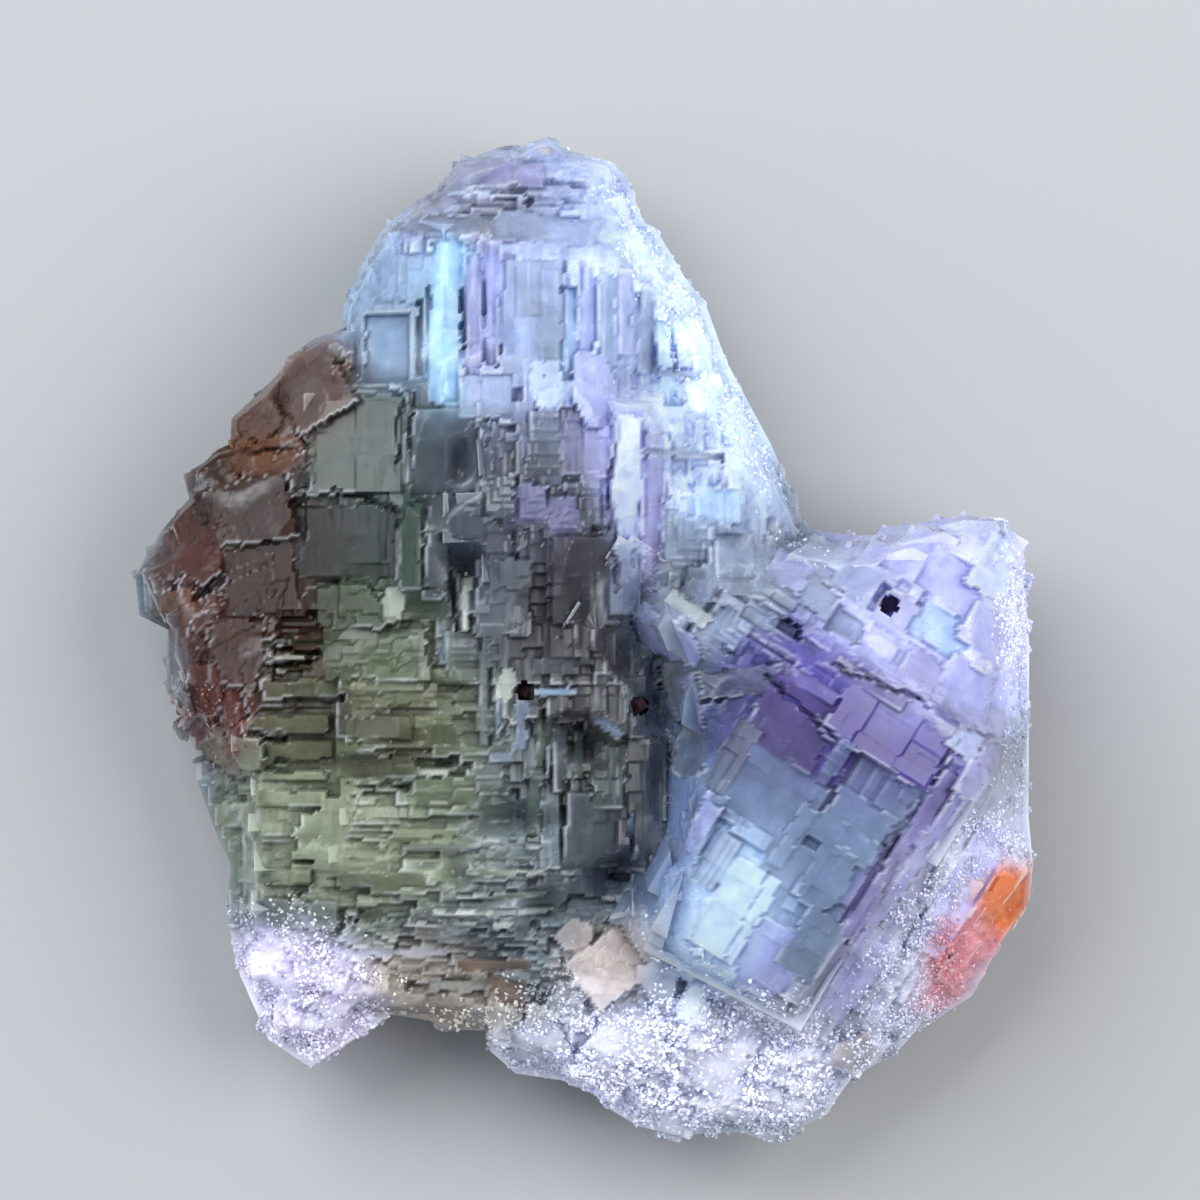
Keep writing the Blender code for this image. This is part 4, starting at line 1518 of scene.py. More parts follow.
LEDGE_PLATES = (
    bar(10.0, 14.4, 37.3, 0.7, Hue.MOSS),
    bar(10.2, 14.2, 36.2, 0.5, Hue.STRAW, lift=0.6),
    bar(9.8, 13.8, 35.3, 0.5, Hue.MOSS),
    column(9.2, 33.2, 36.4, 0.7, Hue.STRAW, habit=Habit.SLAB, lift=0.6),
    bar(10.0, 15.8, 33.9, 2.2, Hue.OLIVE),
    bar(8.8, 15.0, 31.3, 1.9, Hue.OLIVE),
    bar(7.6, 10.2, 29.2, 3.8, Hue.STRAW, habit=Habit.KITE, lift=0.6),
    bar(10.2, 15.2, 29.4, 1.9, Hue.OLIVE),
    bar(9.8, 14.6, 27.5, 1.1, Hue.STRAW, lift=0.5),
    bar(9.0, 14.8, 25.8, 1.8, Hue.STRAW),
    bar(15.4, 21.0, 31.2, 2.4, Hue.UMBER, lift=0.15),
    bar(15.8, 21.2, 28.2, 2.6, Hue.UMBER, lift=0.1),
    bar(21.2, 25.8, 26.4, 3.4, Hue.OLIVE, lift=0.5),
    bar(21.4, 25.4, 27.9, 0.4, Hue.PEARL, lift=0.9),
    bar(17.4, 20.9, 25.0, 1.6, Hue.OLIVE),
    bar(19.6, 24.4, 23.4, 0.8, Hue.STRAW, lift=0.5),
    bar(20.4, 26.2, 22.2, 0.8, Hue.SLATE),
    bar(20.4, 23.2, 21.0, 0.5, Hue.PEARL, lift=0.7),
    bar(15.5, 22.0, 19.8, 1.8, Hue.OLIVE),
    bar(5.6, 9.2, 24.4, 2.8, Hue.STRAW, lift=0.3),
    bar(7.0, 13.6, 20.0, 1.8, Hue.STRAW),
    bar(7.8, 15.4, 17.2, 3.2, Hue.SLATE, lift=0.3),
    bar(22.6, 31.4, 17.6, 0.5, Hue.PEARL, lift=0.8),
    bar(20.6, 28.4, 16.6, 0.5, Hue.PEARL, lift=0.7),
    bar(24.4, 30.8, 18.8, 0.6, Hue.STRAW, lift=0.6),
    bar(25.0, 30.6, 20.6, 0.6, Hue.STRAW, lift=0.5),
    bar(25.4, 30.2, 21.6, 0.6, Hue.MOSS, lift=0.5),
    bar(17.0, 23.6, 14.4, 0.9, Hue.SNOW, lift=0.6),
    bar(24.2, 29.8, 13.6, 1.4, Hue.AMBER),
    bar(22.0, 26.8, 11.8, 1.2, Hue.PEARL, lift=0.5),
)
CENTRE_PLATES = (
    column(37.8, 20.6, 30.4, 3.6, Hue.UMBER, habit=Habit.SLAB, lift=0.45),
    column(34.1, 20.8, 26.4, 3.9, Hue.SLATE, habit=Habit.SLAB, lift=0.35),
    column(35.4, 25.2, 30.0, 2.4, Hue.SAGE, habit=Habit.SLAB, lift=0.4),
    column(37.1, 21.2, 25.0, 0.35, Hue.STEEL, habit=Habit.SLAB, lift=0.8),
    column(29.1, 29.6, 33.3, 1.0, Hue.STEEL, habit=Habit.SLAB, lift=0.7),
    bar(26.9, 28.5, 29.1, 1.0, Hue.STEEL, lift=0.8),
    Plate((28.0, 34.2), (1.4, 2.4), -20, 0.8, Hue.PEARL, Habit.KITE),
    bar(29.8, 33.0, 33.8, 0.8, Hue.SKY, lift=0.7),
    bar(29.9, 33.4, 35.6, 2.0, Hue.SLATE),
    Plate((35.4, 31.2), (2.2, 0.6), -34, 0.8, Hue.ICE),
    column(26.4, 29.8, 36.6, 0.8, Hue.SLATE),
    column(27.4, 30.2, 33.2, 0.5, Hue.STEEL, lift=0.7),
    column(30.6, 28.0, 32.6, 0.8, Hue.MOSS),
    column(31.8, 26.4, 31.8, 0.9, Hue.SLATE),
    column(33.2, 27.4, 31.4, 0.8, Hue.SAGE),
    column(30.0, 22.6, 28.0, 1.0, Hue.MOSS, lift=0.4),
    column(38.1, 32.2, 35.8, 1.1, Hue.DUSK, habit=Habit.SLAB, lift=0.6),
    Plate((39.6, 37.6), (5.6, 2.6), -32, 0.7, Hue.LILAC, Habit.KITE),
    Plate((41.2, 39.8), (3.4, 1.2), -38, 0.9, Hue.PEARL),
    Plate((44.0, 38.4), (2.6, 2.4), -34, 0.6, Hue.STEEL, Habit.CORNER),
    Plate((46.4, 39.4), (2.6, 1.8), -36, 0.7, Hue.STEEL),
    Plate((40.4, 33.6), (1.8, 4.4), 14, 0.5, Hue.SLATE, Habit.SHARD),
    Plate((41.6, 32.8), (1.0, 4.4), 16, 0.8, Hue.MAUVE, Habit.SHARD),
    Plate((41.2, 29.4), (2.6, 3.8), -24, 0.5, Hue.SLATE, Habit.KITE),
    Plate((42.2, 24.4), (1.6, 4.6), -30, 0.7, Hue.LILAC, Habit.SHARD),
)
CUBE_PLATES = (
    tilted(45.2, 34.6, 6.6, 2.0, Hue.SLATE, turn=6.0, lift=0.7),
    tilted(48.6, 31.6, 5.8, 5.6, Hue.DUSK, lift=0.5),
    tilted(56.0, 31.2, 9.2, 6.2, Hue.VIOLET, lift=0.45),
    tilted(54.2, 34.4, 6.0, 1.2, Hue.DUSK, lift=0.8),
    tilted(47.2, 26.4, 7.4, 5.2, Hue.STEEL, lift=0.4),
    tilted(44.2, 29.2, 2.0, 5.4, Hue.SLATE, lift=0.55),
    tilted(54.6, 25.8, 6.2, 5.0, Hue.STEEL, habit=Habit.CORNER, lift=0.5),
    tilted(53.0, 24.0, 5.0, 4.4, Hue.STEEL, lift=0.8),
    tilted(51.2, 20.4, 3.4, 5.0, Hue.STEEL, habit=Habit.KITE, lift=0.7),
    tilted(47.4, 20.4, 3.2, 6.2, Hue.STEEL, lift=0.45),
    # Pale plate inside the cube's painted highlight.
    tilted(44.4, 18.0, 3.8, 7.0, Hue.ICE, lift=0.6),
    tilted(47.0, 14.2, 4.4, 5.4, Hue.LILAC, habit=Habit.KITE, lift=0.4),
    tilted(50.2, 15.4, 3.4, 5.0, Hue.STEEL, lift=0.5),
    tilted(56.4, 22.0, 1.1, 14.0, Hue.MAUVE, lift=0.75),
    tilted(57.8, 21.6, 0.9, 15.0, Hue.LILAC, lift=0.4),
    tilted(59.0, 21.4, 1.1, 15.0, Hue.MAUVE, lift=0.15),
    tilted(61.2, 30.2, 2.2, 1.8, Hue.ICE, lift=0.8),
    tilted(61.8, 27.2, 2.2, 2.6, Hue.LILAC, lift=0.6),
    tilted(43.0, 21.8, 2.2, 4.2, Hue.STEEL, habit=Habit.STAIR, lift=0.5),
    tilted(51.6, 28.6, 1.1, 4.0, Hue.STEEL, habit=Habit.STAIR, quarter=1, lift=0.9),
    tilted(49.8, 34.4, 4.6, 0.9, Hue.MAUVE, lift=0.9),
    tilted(48.6, 23.4, 1.0, 5.0, Hue.STEEL, lift=0.8),
    tilted(53.4, 12.6, 2.6, 7.0, Hue.LILAC, lift=0.1),
    tilted(61.4, 19.2, 3.0, 11.0, Hue.LILAC, lift=0.0),
)
SHINGLE_PLATES = tuple(
    tilted(x, y, wide, tall, shade, lift=lift, turn=-34.0)
    for x, y, wide, tall, lift, shade in (
        (57.2, 43.6, 4.6, 3.4, 0.5, Hue.LILAC),
        (60.6, 41.8, 5.0, 3.6, 0.6, Hue.LILAC),
        (64.0, 42.8, 3.4, 4.4, 0.3, Hue.ICE),
        (56.4, 39.4, 3.4, 3.0, 0.5, Hue.LILAC),
        (59.6, 38.2, 4.4, 2.8, 0.7, Hue.SKY),
        (63.2, 38.0, 4.2, 3.2, 0.5, Hue.LILAC),
        (58.2, 35.4, 3.0, 2.4, 0.4, Hue.MAUVE),
        (61.6, 34.4, 4.4, 2.6, 0.6, Hue.LILAC),
        (64.8, 33.6, 2.8, 2.8, 0.4, Hue.LILAC),
        (53.6, 41.8, 3.0, 2.6, 0.5, Hue.STEEL),
        (50.6, 40.6, 2.6, 2.2, 0.5, Hue.STEEL),
        (52.6, 38.6, 2.6, 2.0, 0.6, Hue.STEEL),
        (48.6, 42.6, 2.8, 2.4, 0.5, Hue.LILAC),
        (51.6, 44.0, 3.0, 2.0, 0.5, Hue.ICE),
    )
)
RIM_PLATES = (
    Plate((12.6, 56.2), (6.6, 6.8), 32, 0.5, Hue.MOCHA),
    Plate((9.6, 54.0), (3.4, 3.4), 26, 0.4, Hue.MOCHA, Habit.KITE),
    Plate((10.4, 50.8), (5.6, 2.6), 18, 0.5, Hue.AMBER, Habit.SHARD),
    Plate((9.0, 46.8), (6.4, 4.8), 12, 0.4, Hue.COFFEE),
    Plate((9.8, 42.0), (5.4, 5.2), 6, 0.4, Hue.COFFEE),
    Plate((4.8, 44.0), (3.6, 5.0), 34, 0.4, Hue.RUST, Habit.KITE),
    Plate((3.2, 39.4), (3.6, 3.4), 10, 0.4, Hue.AMBER, Habit.SHARD),
    Plate((8.0, 36.6), (4.0, 5.0), -6, 0.4, Hue.COFFEE),
    Plate((5.4, 33.6), (3.0, 4.2), -8, 0.4, Hue.RUST, Habit.KITE),
    Plate((6.2, 29.6), (2.4, 2.8), -6, 0.4, Hue.OLIVE, Habit.SHARD, 1),
)
FOOT_PLATES = (
    Plate((35.4, 13.4), (5.0, 4.4), 36, 0.7, Hue.SHELL, Habit.ROOF, ragged=0.06),
    Plate((33.0, 15.8), (2.8, 2.2), 40, 0.9, Hue.SHELL, Habit.KITE, ragged=0.06),
    Plate((39.2, 12.2), (2.8, 3.4), 12, 0.8, Hue.SNOW, Habit.SHARD),
    Plate((41.8, 11.0), (2.2, 3.6), -16, 0.8, Hue.ICE, Habit.SHARD, 1),
    Plate((37.0, 8.2), (5.0, 3.4), -12, 0.5, Hue.SNOW),
    Plate((31.0, 8.6), (3.8, 3.0), -20, 0.5, Hue.SNOW),
    Plate((43.6, 5.6), (4.6, 3.4), 10, 0.5, Hue.SNOW, Habit.SHARD),
    Plate((27.8, 11.6), (3.0, 2.0), -10, 0.6, Hue.AMBER),
    Plate((53.8, 6.6), (3.2, 3.0), 24, 0.6, Hue.TAN),
    Plate((64.4, 17.6), (2.6, 5.4), -32, 0.4, Hue.FLAME, Habit.KITE),
    Plate((62.4, 14.0), (3.0, 5.4), -34, 0.4, Hue.ROSE),
    Plate((60.4, 10.6), (2.6, 4.0), -38, 0.4, Hue.ROSE),
)
PLATES = (
    *BODY_PLATES,
    *LEDGE_PLATES,
    *CENTRE_PLATES,
    *CUBE_PLATES,
    *SHINGLE_PLATES,
    *RIM_PLATES,
    *FOOT_PLATES,
    *SPIRE_PLATES,
)
CRACKS = (
    Crack(((22.1, 47.2), (21.9, 41.2)), 0.32, 1.0),
    Crack(((20.3, 46.9), (19.9, 43.2)), 0.18),
    Crack(((15.4, 48.6), (20.2, 46.9)), 0.16),
    Crack(((20.4, 56.2), (20.2, 50.6)), 0.2),
    Crack(((21.3, 55.4), (20.9, 51.2)), 0.2),
    Crack(((21.8, 41.0), (23.6, 41.1)), 0.18),
    Crack(((24.0, 42.4), (24.2, 38.4)), 0.4, 1.0),
    Crack(((11.2, 36.7), (14.4, 36.8)), 0.35, 1.0),
    Crack(((10.2, 35.7), (13.6, 35.8)), 0.3, 1.0),
    Crack(((9.0, 30.5), (11.6, 30.4)), 0.45, 1.0),
    Crack(((9.8, 28.5), (13.2, 28.4)), 0.25, 0.8),
    Crack(((8.0, 26.9), (9.4, 27.2)), 0.4, 0.9),
    Crack(((6.2, 26.0), (9.0, 26.4)), 0.2),
    Crack(((16.4, 27.0), (20.8, 26.8)), 0.3),
    Crack(((60.6, 30.4), (54.2, 20.6)), 0.12, 0.6),
    Crack(((58.8, 27.0), (55.4, 21.8)), 0.16),
    Crack(((46.9, 20.8), (43.6, 14.0)), 0.10, 0.6),
    Crack(((51.5, 35.9), (57.7, 33.3)), 0.25, 1.0),
    Crack(((57.7, 33.3), (64.8, 29.3)), 0.16, 0.8),
    Crack(((46.6, 35.2), (51.8, 30.4)), 0.25, 0.9),
    Crack(((36.0, 53.4), (35.5, 47.0)), 0.3, 1.0),
    Crack(((35.5, 47.0), (36.0, 41.0)), 0.3, 1.0),
    Crack(((37.6, 47.6), (37.2, 43.0)), 0.14),
    Crack(((18.2, 62.6), (21.6, 62.2)), 0.18),
    Crack(((31.9, 9.4), (33.4, 5.8)), 0.35, 0.9),
    Crack(((10.6, 55.4), (13.4, 51.8)), 0.25, 0.8),
    Crack(((8.2, 51.4), (12.6, 51.6)), 0.3, 0.8),
)


def nearest_region(x: float, y: float) -> Region:
    """The region whose middle is nearest to a plan point.

    Args:
        x: Plan x.
        y: Plan y.

    Returns:
        The region.
    """

    def gap(region: Region) -> float:
        """Distance from the point to a region's nearest corner or middle.

        Args:
            region: The region.

        Returns:
            The distance in millimetres.
        """
        middle = Vector(region.corners[0]) * 0.0
        for corner in region.corners:
            middle += Vector(corner) / len(region.corners)
        spots = [middle, *(Vector(corner) for corner in region.corners)]
        return min((spot - Vector((x, y))).length for spot in spots)

    return min(REGIONS, key=gap)


class Relief:
    """Smoothed height of the specimen's face over the plan, in millimetres.

    Attributes:
        step: Width of the grid.
        margin: How far the grid goes past the plan.
        sky: Height from which the face is read.
        ray: Longest ray, in metres.
        blank: Height that stands for no ground.
        rounds: Rounds of blurring of the filled face and of the plain one.
        rim: Distance from the outline where filling starts, and over how far it grows.
        lift: What the smoothed face may stand over the plain one anywhere.
    """

    step: float = 0.5
    margin: float = 3.0
    sky: float = 60.0
    ray: float = 0.07
    blank: float = 99.0
    rounds: tuple[int, int] = (8, 5)
    rim: Point = (0.6, 3.4)
    lift: float = 0.15

    def __init__(self, tree: BVHTree, swell: float = 1.5, allow: float = 1.3) -> None:
        """Reads the cluster's height from above, then fills its gaps.

        Args:
            tree: The cluster's surface.
            swell: Reach over which high ground fills low ground.
            allow: Most that it may fill.
        """
        columns = round((2 * PLAN_MIDDLE[0] + 2 * self.margin) / self.step)
        rows = round((2 * PLAN_MIDDLE[1] + 2 * self.margin) / self.step)
        self.raw = np.full((rows, columns), np.nan)
        self.under = np.full((rows, columns), self.blank)
        down = Vector((0.0, 0.0, -1.0))
        for row in range(rows):
            for column in range(columns):
                x, y = column * self.step - self.margin, row * self.step - self.margin
                hit = tree.ray_cast(at(x, y, self.sky), down, self.ray)[0]
                if hit is not None:
                    self.raw[row, column] = hit.z / MM
                    back = tree.ray_cast(at(x, y, -1.0), -down, self.ray)[0]
                    self.under[row, column] = back.z / MM
        self.solid = ~np.isnan(self.raw)
        self.depth = np.zeros_like(self.raw)
        core = self.solid.copy()
        while core.any():
            self.depth += core * self.step
            core = core & self.near(core.astype(float), 1, np.minimum).astype(bool)
        floor = np.where(self.solid, self.raw, 0.0)
        high = self.near(floor, round(swell / self.step), np.maximum)
        high = self.blurred(high, self.rounds[0])
        plain = self.blurred(floor, self.rounds[1])
        inward = np.clip((self.depth - self.rim[0]) / self.rim[1], 0.0, 1.0)
        self.low = -self.near(-np.where(self.solid, self.raw, self.blank), 2, np.maximum)
        self.ground = floor
        self.peak = self.near(floor, 1, np.maximum)
        self.level = np.minimum(
            plain + (high - plain) * inward, plain + allow * inward + self.lift
        )

    def near(self, field: np.ndarray, reach: int, pick: Callable[..., np.ndarray]) -> np.ndarray:
        """The greatest or least value in a square about each cell.

        Args:
            field: Values on the grid.
            reach: Cells to each side.
            pick: Which of two arrays of values is kept.

        Returns:
            The picked values.
        """
        for axis in (0, 1):
            kept = field.copy()
            for shift in range(-reach, reach + 1):
                kept = pick(kept, np.roll(field, shift, axis))
            field = kept
        return field

    def blurred(self, field: np.ndarray, rounds: int) -> np.ndarray:
        """Averages over neighbours that lie on the specimen.

        Args:
            field: Values on the grid.
            rounds: How often.

        Returns:
            The blurred values.
        """
        weight = self.solid.astype(float)
        for _ in range(rounds):
            total, count = np.zeros_like(field), np.zeros_like(field)
            for i in (-1, 0, 1):
                for j in (-1, 0, 1):
                    total += np.roll(field * weight, (i, j), (0, 1))
                    count += np.roll(weight, (i, j), (0, 1))
            field = np.where(count > 0, total / np.maximum(count, 1e-9), field)
        return field

    def cell(self, x: float, y: float) -> tuple[int, int]:
        """The grid cell of a plan point.

        Args:
            x: Plan x.
            y: Plan y.

        Returns:
            Its row and column.
        """
        rows, columns = self.raw.shape
        row = min(max(round((y + self.margin) / self.step), 0), rows - 1)
        return row, min(max(round((x + self.margin) / self.step), 0), columns - 1)

    def over(self, field: np.ndarray, x: np.ndarray, y: np.ndarray) -> np.ndarray:
        """Reads one of the fields between its cells.

        Args:
            field: Values on the grid.
            x: Plan x of each point.
            y: Plan y of each point.

        Returns:
            The value at each point.
        """
        rows, columns = field.shape
        u = np.clip((x + self.margin) / self.step, 0, columns - 1.001)
        v = np.clip((y + self.margin) / self.step, 0, rows - 1.001)
        return between(field, u, v)

    def inside(self, x: float, y: float, by: float = 0.0) -> bool:
        """Whether a plan point lies on the specimen, that far from its outline."""
        return bool(self.depth[self.cell(x, y)] > by)


class Terrain:
    """The stepped skin of the face: heights, tones, painted shade lines and painted highlights on
    a fine grid.

    Lengths are in millimetres. A scale is how often noise changes from brick to brick.

    Attributes:
        step: Width of the grid.
        inset: How far the skin stays from the outline.
        root: How far it reaches into the crystal.
        least_depth: Least thickness of crystal under it.
        overlap: Grid points by which the two skins overlap.
        pit: Radius that stays bare round each dark grain.
        border: How far the grid goes past its zones.
        rim: Distance from the outline where growth starts, and over how far it rises.
        tile: Random values along each side of the noise.
        span: Half of what the lines between bricks cover.
        lines: How many spans' worth of bricks are drawn.
        jitter: Least and greatest brick, as a share of the usual one.
        band: Least and greatest width of the bands that slip past one another.
        bands: How many bands there are.
        slip: How many bricks' widths a band slips, at most.
        shift: How many bricks' lengths a row shifts, at most.
        jag: Bricks that make the zones' borders jagged.
        hold: How far growth may sink under the smoothed face and rise over it.
        clear: Least height over the cluster's own surface.
        fine_scale: Scale of the fine steps.
        speck_scale: Scale of what is added to them.
        tone_scale: Scale of the bricks' tones.
        rough_patch: Size of the patches that have fine steps.
        rough_more: What is added to their share.
        tones: How much the bricks and the fine steps change the tone.
        plate_jag: Bricks that make the plates' edges ragged.
        plate_scale: Scale of their raggedness.
        plate_rank: Share in percent of the surface that a plate covers.
        plate_most: Greatest height of a plate over its place.
        plate_hold: How far plates may sink under the smoothed face and rise over it.
        plate_share: How strongly a plate shows its own colour.
        plate_rest: How much of the growth shows through it.
        plate_tone: How much of the tone shows through it.
        crack_patch: Size of the bends of a crack.
        crack_bend: How far it bends.
        crack_edge: What is added to half of its width.
        crack_most: Its greatest depth.
        crack_narrow: How fast a narrow one gets shallow.
        crack_painted_shade: How much painted shade darkens it.
        foot: Rise at which the painted shade at the foot of a step starts, and over how much.
        painted_lip_highlight: Drop at which the painted highlight on a step's top edge starts,
            and over how much.
        painted_highlight_patch: Size of the patches that have the painted highlight.
        painted_highlight_least: Noise value from which they do.
        floor: Lowest place of the skin's root.
        over_back: How far the root stays from the back of the crystal.
        thin: Least thickness of the skin.
    """

    step: float = 0.245
    inset: float = 0.5
    root: float = 0.7
    least_depth: float = 0.9
    overlap: int = 4
    pit: float = 0.6
    border: float = 1.0
    rim: Point = (0.6, 1.6)
    tile: int = 64
    span: float = 130.0
    lines: float = 2.4
    jitter: Point = (0.35, 1.65)
    band: Point = (3.0, 9.0)
    bands: int = 60
    slip: float = 2.0
    shift: float = 6.0
    jag: Point = (1.1, 1.1)
    hold: Point = (0.4, 0.85)
    clear: float = 0.03
    fine_scale: float = 1.7
    speck_scale: float = 9.1
    tone_scale: float = 7.3
    rough_patch: float = 5.0
    rough_more: float = 0.25
    tones: Point = (0.7, 0.25)
    plate_jag: Point = (0.9, 0.9)
    plate_scale: float = 5.3
    plate_rank: float = 94
    plate_most: float = 0.95
    plate_hold: Point = (0.6, 1.2)
    plate_share: float = 0.52
    plate_rest: float = 0.16
    plate_tone: float = 0.35
    crack_patch: float = 0.8
    crack_bend: float = 0.5
    crack_edge: float = 0.07
    crack_most: float = 0.9
    crack_narrow: float = 2.2
    crack_painted_shade: float = 0.55
    foot: Point = (0.07, 0.36)
    painted_lip_highlight: Point = (0.08, 0.34)
    painted_highlight_patch: float = 2.6
    painted_highlight_least: float = 0.48
    floor: float = 1.2
    over_back: float = 0.5
    thin: float = 0.3

    def __init__(
        self, relief: Relief, pits: Sequence[Point], turn: float, zones: Sequence[Region]
    ) -> None:
        """Grows the skin over the smoothed face.

        Args:
            relief: The smoothed face.
            pits: Plan points that stay bare, where the dark grains sit.
            turn: Turn of the grid in degrees.
            zones: The regions that this skin covers.
        """
        self.relief = relief
        self.pits = pits
        self.angle = math.radians(turn)
        self.draw = np.random.default_rng(SEED + len(zones))
        ends = np.array([corner for zone in zones for corner in zone.corners])
        u, v = spun(ends[:, 0], ends[:, 1], self.angle)
        self.origin = (u.min() - self.border, v.min() - self.border)
        u, v = np.meshgrid(
            np.arange(self.origin[0], u.max() + self.border, self.step),
            np.arange(self.origin[1], v.max() + self.border, self.step),
        )
        self.x, self.y = spun(u, v, -self.angle)
        self.height = self.laid(relief.level)
        self.tone = np.full(self.x.shape, 0.5)
        self.own = np.zeros((*self.x.shape, 4))
        self.frost = np.zeros(self.x.shape)
        self.keep, parts = self.parts(zones)
        for region, part in zip(zones, parts):
            self.grow(region, part)
        for plate in PLATES:
            self.press(plate)
        for crack in CRACKS:
            self.open(crack)
        self.cover()
        self.feet, self.painted_highlights = self.edges()

    def laid(self, field: np.ndarray) -> np.ndarray:
        """A field of the smoothed face, read at the grid points."""
        return self.relief.over(field, self.x, self.y)

    def index(self, x: np.ndarray, y: np.ndarray) -> tuple[np.ndarray, np.ndarray]:
        """The grid point nearest to each plan point.

        Args:
            x: Plan x of each point.
            y: Plan y of each point.

        Returns:
            Its row and column.
        """
        u, v = spun(np.asarray(x, dtype=float), np.asarray(y, dtype=float), self.angle)
        rows, columns = self.x.shape
        i = np.clip(np.round((u - self.origin[0]) / self.step).astype(int), 0, columns - 1)
        j = np.clip(np.round((v - self.origin[1]) / self.step).astype(int), 0, rows - 1)
        return j, i

    def cover(self) -> None:
        """Lays the skin down towards the outline."""
        start, width = self.rim
        inward = np.clip((self.laid(self.relief.depth) - start) / width, 0.0, 1.0)
        low = np.minimum(self.laid(self.relief.ground), self.height)
        self.height = low + (self.height - low) * inward

    def hazy(self, u: np.ndarray, v: np.ndarray) -> np.ndarray:
        """Smooth noise from 0 to 1 with patches of one unit."""
        return between(self.draw.random((self.tile, self.tile)), u, v, soft=True)

    def cells(
        self, turn: float, size: Point, x: np.ndarray | None = None, y: np.ndarray | None = None
    ) -> tuple[np.ndarray, np.ndarray]:
        """Splits the plan into uneven bricks and gives each point its brick's corner.

        Args:
            turn: Turn of the bricks in degrees.
            size: Their usual width and length.
            x: Plan x of each point, or the grid's own.
            y: Plan y of each point, or the grid's own.

        Returns:
            Plan x and y of the corner for each point.
        """
        x = self.x if x is None else x
        y = self.y if y is None else y
        draw, span, angle = self.draw.uniform, self.span, math.radians(turn)
        u, v = spun(x, y, angle)
        flat = size[0] > size[1]
        if flat:
            u, v, size = v, u, size[::-1]
        bands = np.cumsum(draw(*self.band, self.bands)) - span
        slip = draw(0.0, self.slip * size[0], self.bands + 1)[np.searchsorted(bands, v)]
        u = u + slip
        lines = [
            np.cumsum(draw(*self.jitter, round(self.lines * span / wide)) * wide) - span
            for wide in size
        ]
        i = np.searchsorted(lines[0], u)
        shift = draw(0.0, self.shift * size[1], len(lines[0]) + 1)[i]
        j = np.searchsorted(lines[1], v + shift)
        u, v = lines[0][i - 1] - slip, lines[1][j - 1] - shift
        return spun(v, u, -angle) if flat else spun(u, v, -angle)

    def parts(self, zones: Sequence[Region]) -> tuple[np.ndarray, list[np.ndarray]]:
        """Shares the grid out among the regions, with jagged borders.

        Args:
            zones: The regions that this skin covers.

        Returns:
            The points that it covers, and the points of each region.
        """
        x, y = self.cells(0.0, self.jag)
        x, y = (self.x + x) / 2, (self.y + y) / 2
        every = np.full(self.x.shape, -1)
        for index, region in enumerate(REGIONS):
            every[region.mask(x, y)] = index
        every = self.filled(every)
        names = [region.name for region in REGIONS]
        own = np.isin(every, [names.index(zone.name) for zone in zones])
        label = self.filled(np.where(own, every, -1))
        for _ in range(self.overlap):
            for axis in (0, 1):
                own = own | np.roll(own, 1, axis) | np.roll(own, -1, axis)
        return own, [label == names.index(zone.name) for zone in zones]

    @staticmethod
    def filled(label: np.ndarray) -> np.ndarray:
        """Labels each unlabelled point as its nearest labelled one.

        Args:
            label: A label for each grid point, or -1 where it has none.

        Returns:
            The labels, with none left out.
        """
        while (label < 0).any():
            for axis in (0, 1):
                for shift in (-1, 1):
                    beside = np.roll(label, shift, axis)
                    label = np.where((label < 0) & (beside >= 0), beside, label)
        return label

    @staticmethod
    def brick_tops(
        over: np.ndarray, cx: np.ndarray, cy: np.ndarray, part: np.ndarray
    ) -> np.ndarray:
        """The greatest value within each brick.

        Args:
            over: Values on the grid.
            cx: Plan x of the brick's corner at each point.
            cy: Plan y of it.
            part: The points that count.

        Returns:
            The brick's value at each point.
        """
        # A corner's place in micrometres makes one number that names its brick.
        key = np.round(cx.ravel() * 1000.0) * 1.0e6 + np.round(cy.ravel() * 1000.0)
        brick = np.unique(key, return_inverse=True)[1].ravel()
        tops = np.full(brick.max() + 1, -99.0)
        np.maximum.at(tops, brick[part.ravel()], over[part])
        return tops[brick].reshape(over.shape)

    def grow(self, region: Region, part: np.ndarray) -> None:
        """Cuts a region's face into growth planes.

        Args:
            region: The region.
            part: Its share of the grid.
        """
        relief, growth, up = self.relief, region.growth, region.lattice.axes().col[2]
        wide, long = growth.patch
        plane_x, plane_y = -up.x / up.z, -up.y / up.z
        cx, cy = self.cells(region.lattice.turn, growth.cell)
        wave = self.hazy(cx / wide, cy / long) - 0.5
        level = relief.over(relief.level, cx, cy) - plane_x * cx - plane_y * cy
        level = np.round((level + wave * growth.swing) / growth.gap) * growth.gap
        over = self.laid(relief.peak) - plane_x * self.x - plane_y * self.y
        over = self.brick_tops(over, cx, cy, part)
        step = growth.gap * 0.5
        level = np.maximum(level, np.ceil((over + self.clear) / step) * step)
        high = level + plane_x * self.x + plane_y * self.y
        smooth = self.laid(relief.level)
        high = np.clip(high, smooth - self.hold[0], smooth + self.hold[1])
        fx, fy = self.cells(region.lattice.turn, growth.fine_cell)
        fine = self.hazy(fx * self.fine_scale / wide, fy * self.fine_scale / long)
        fine += 0.5 * (self.hazy(fx * self.speck_scale, fy * self.speck_scale) - 0.5)
        rough = self.hazy(self.x / self.rough_patch, self.y / self.rough_patch)
        rough = rough < growth.fine_share + self.rough_more
        high += np.where(rough, np.round((fine - 0.5) * 4.0) * growth.fine_gap, 0.0)
        tone = self.hazy(cx * self.tone_scale, cy * self.tone_scale) - 0.5
        tone = 0.5 + self.tones[0] * tone + self.tones[1] * (fine - 0.5) * rough
        self.height = np.where(part, high, self.height)
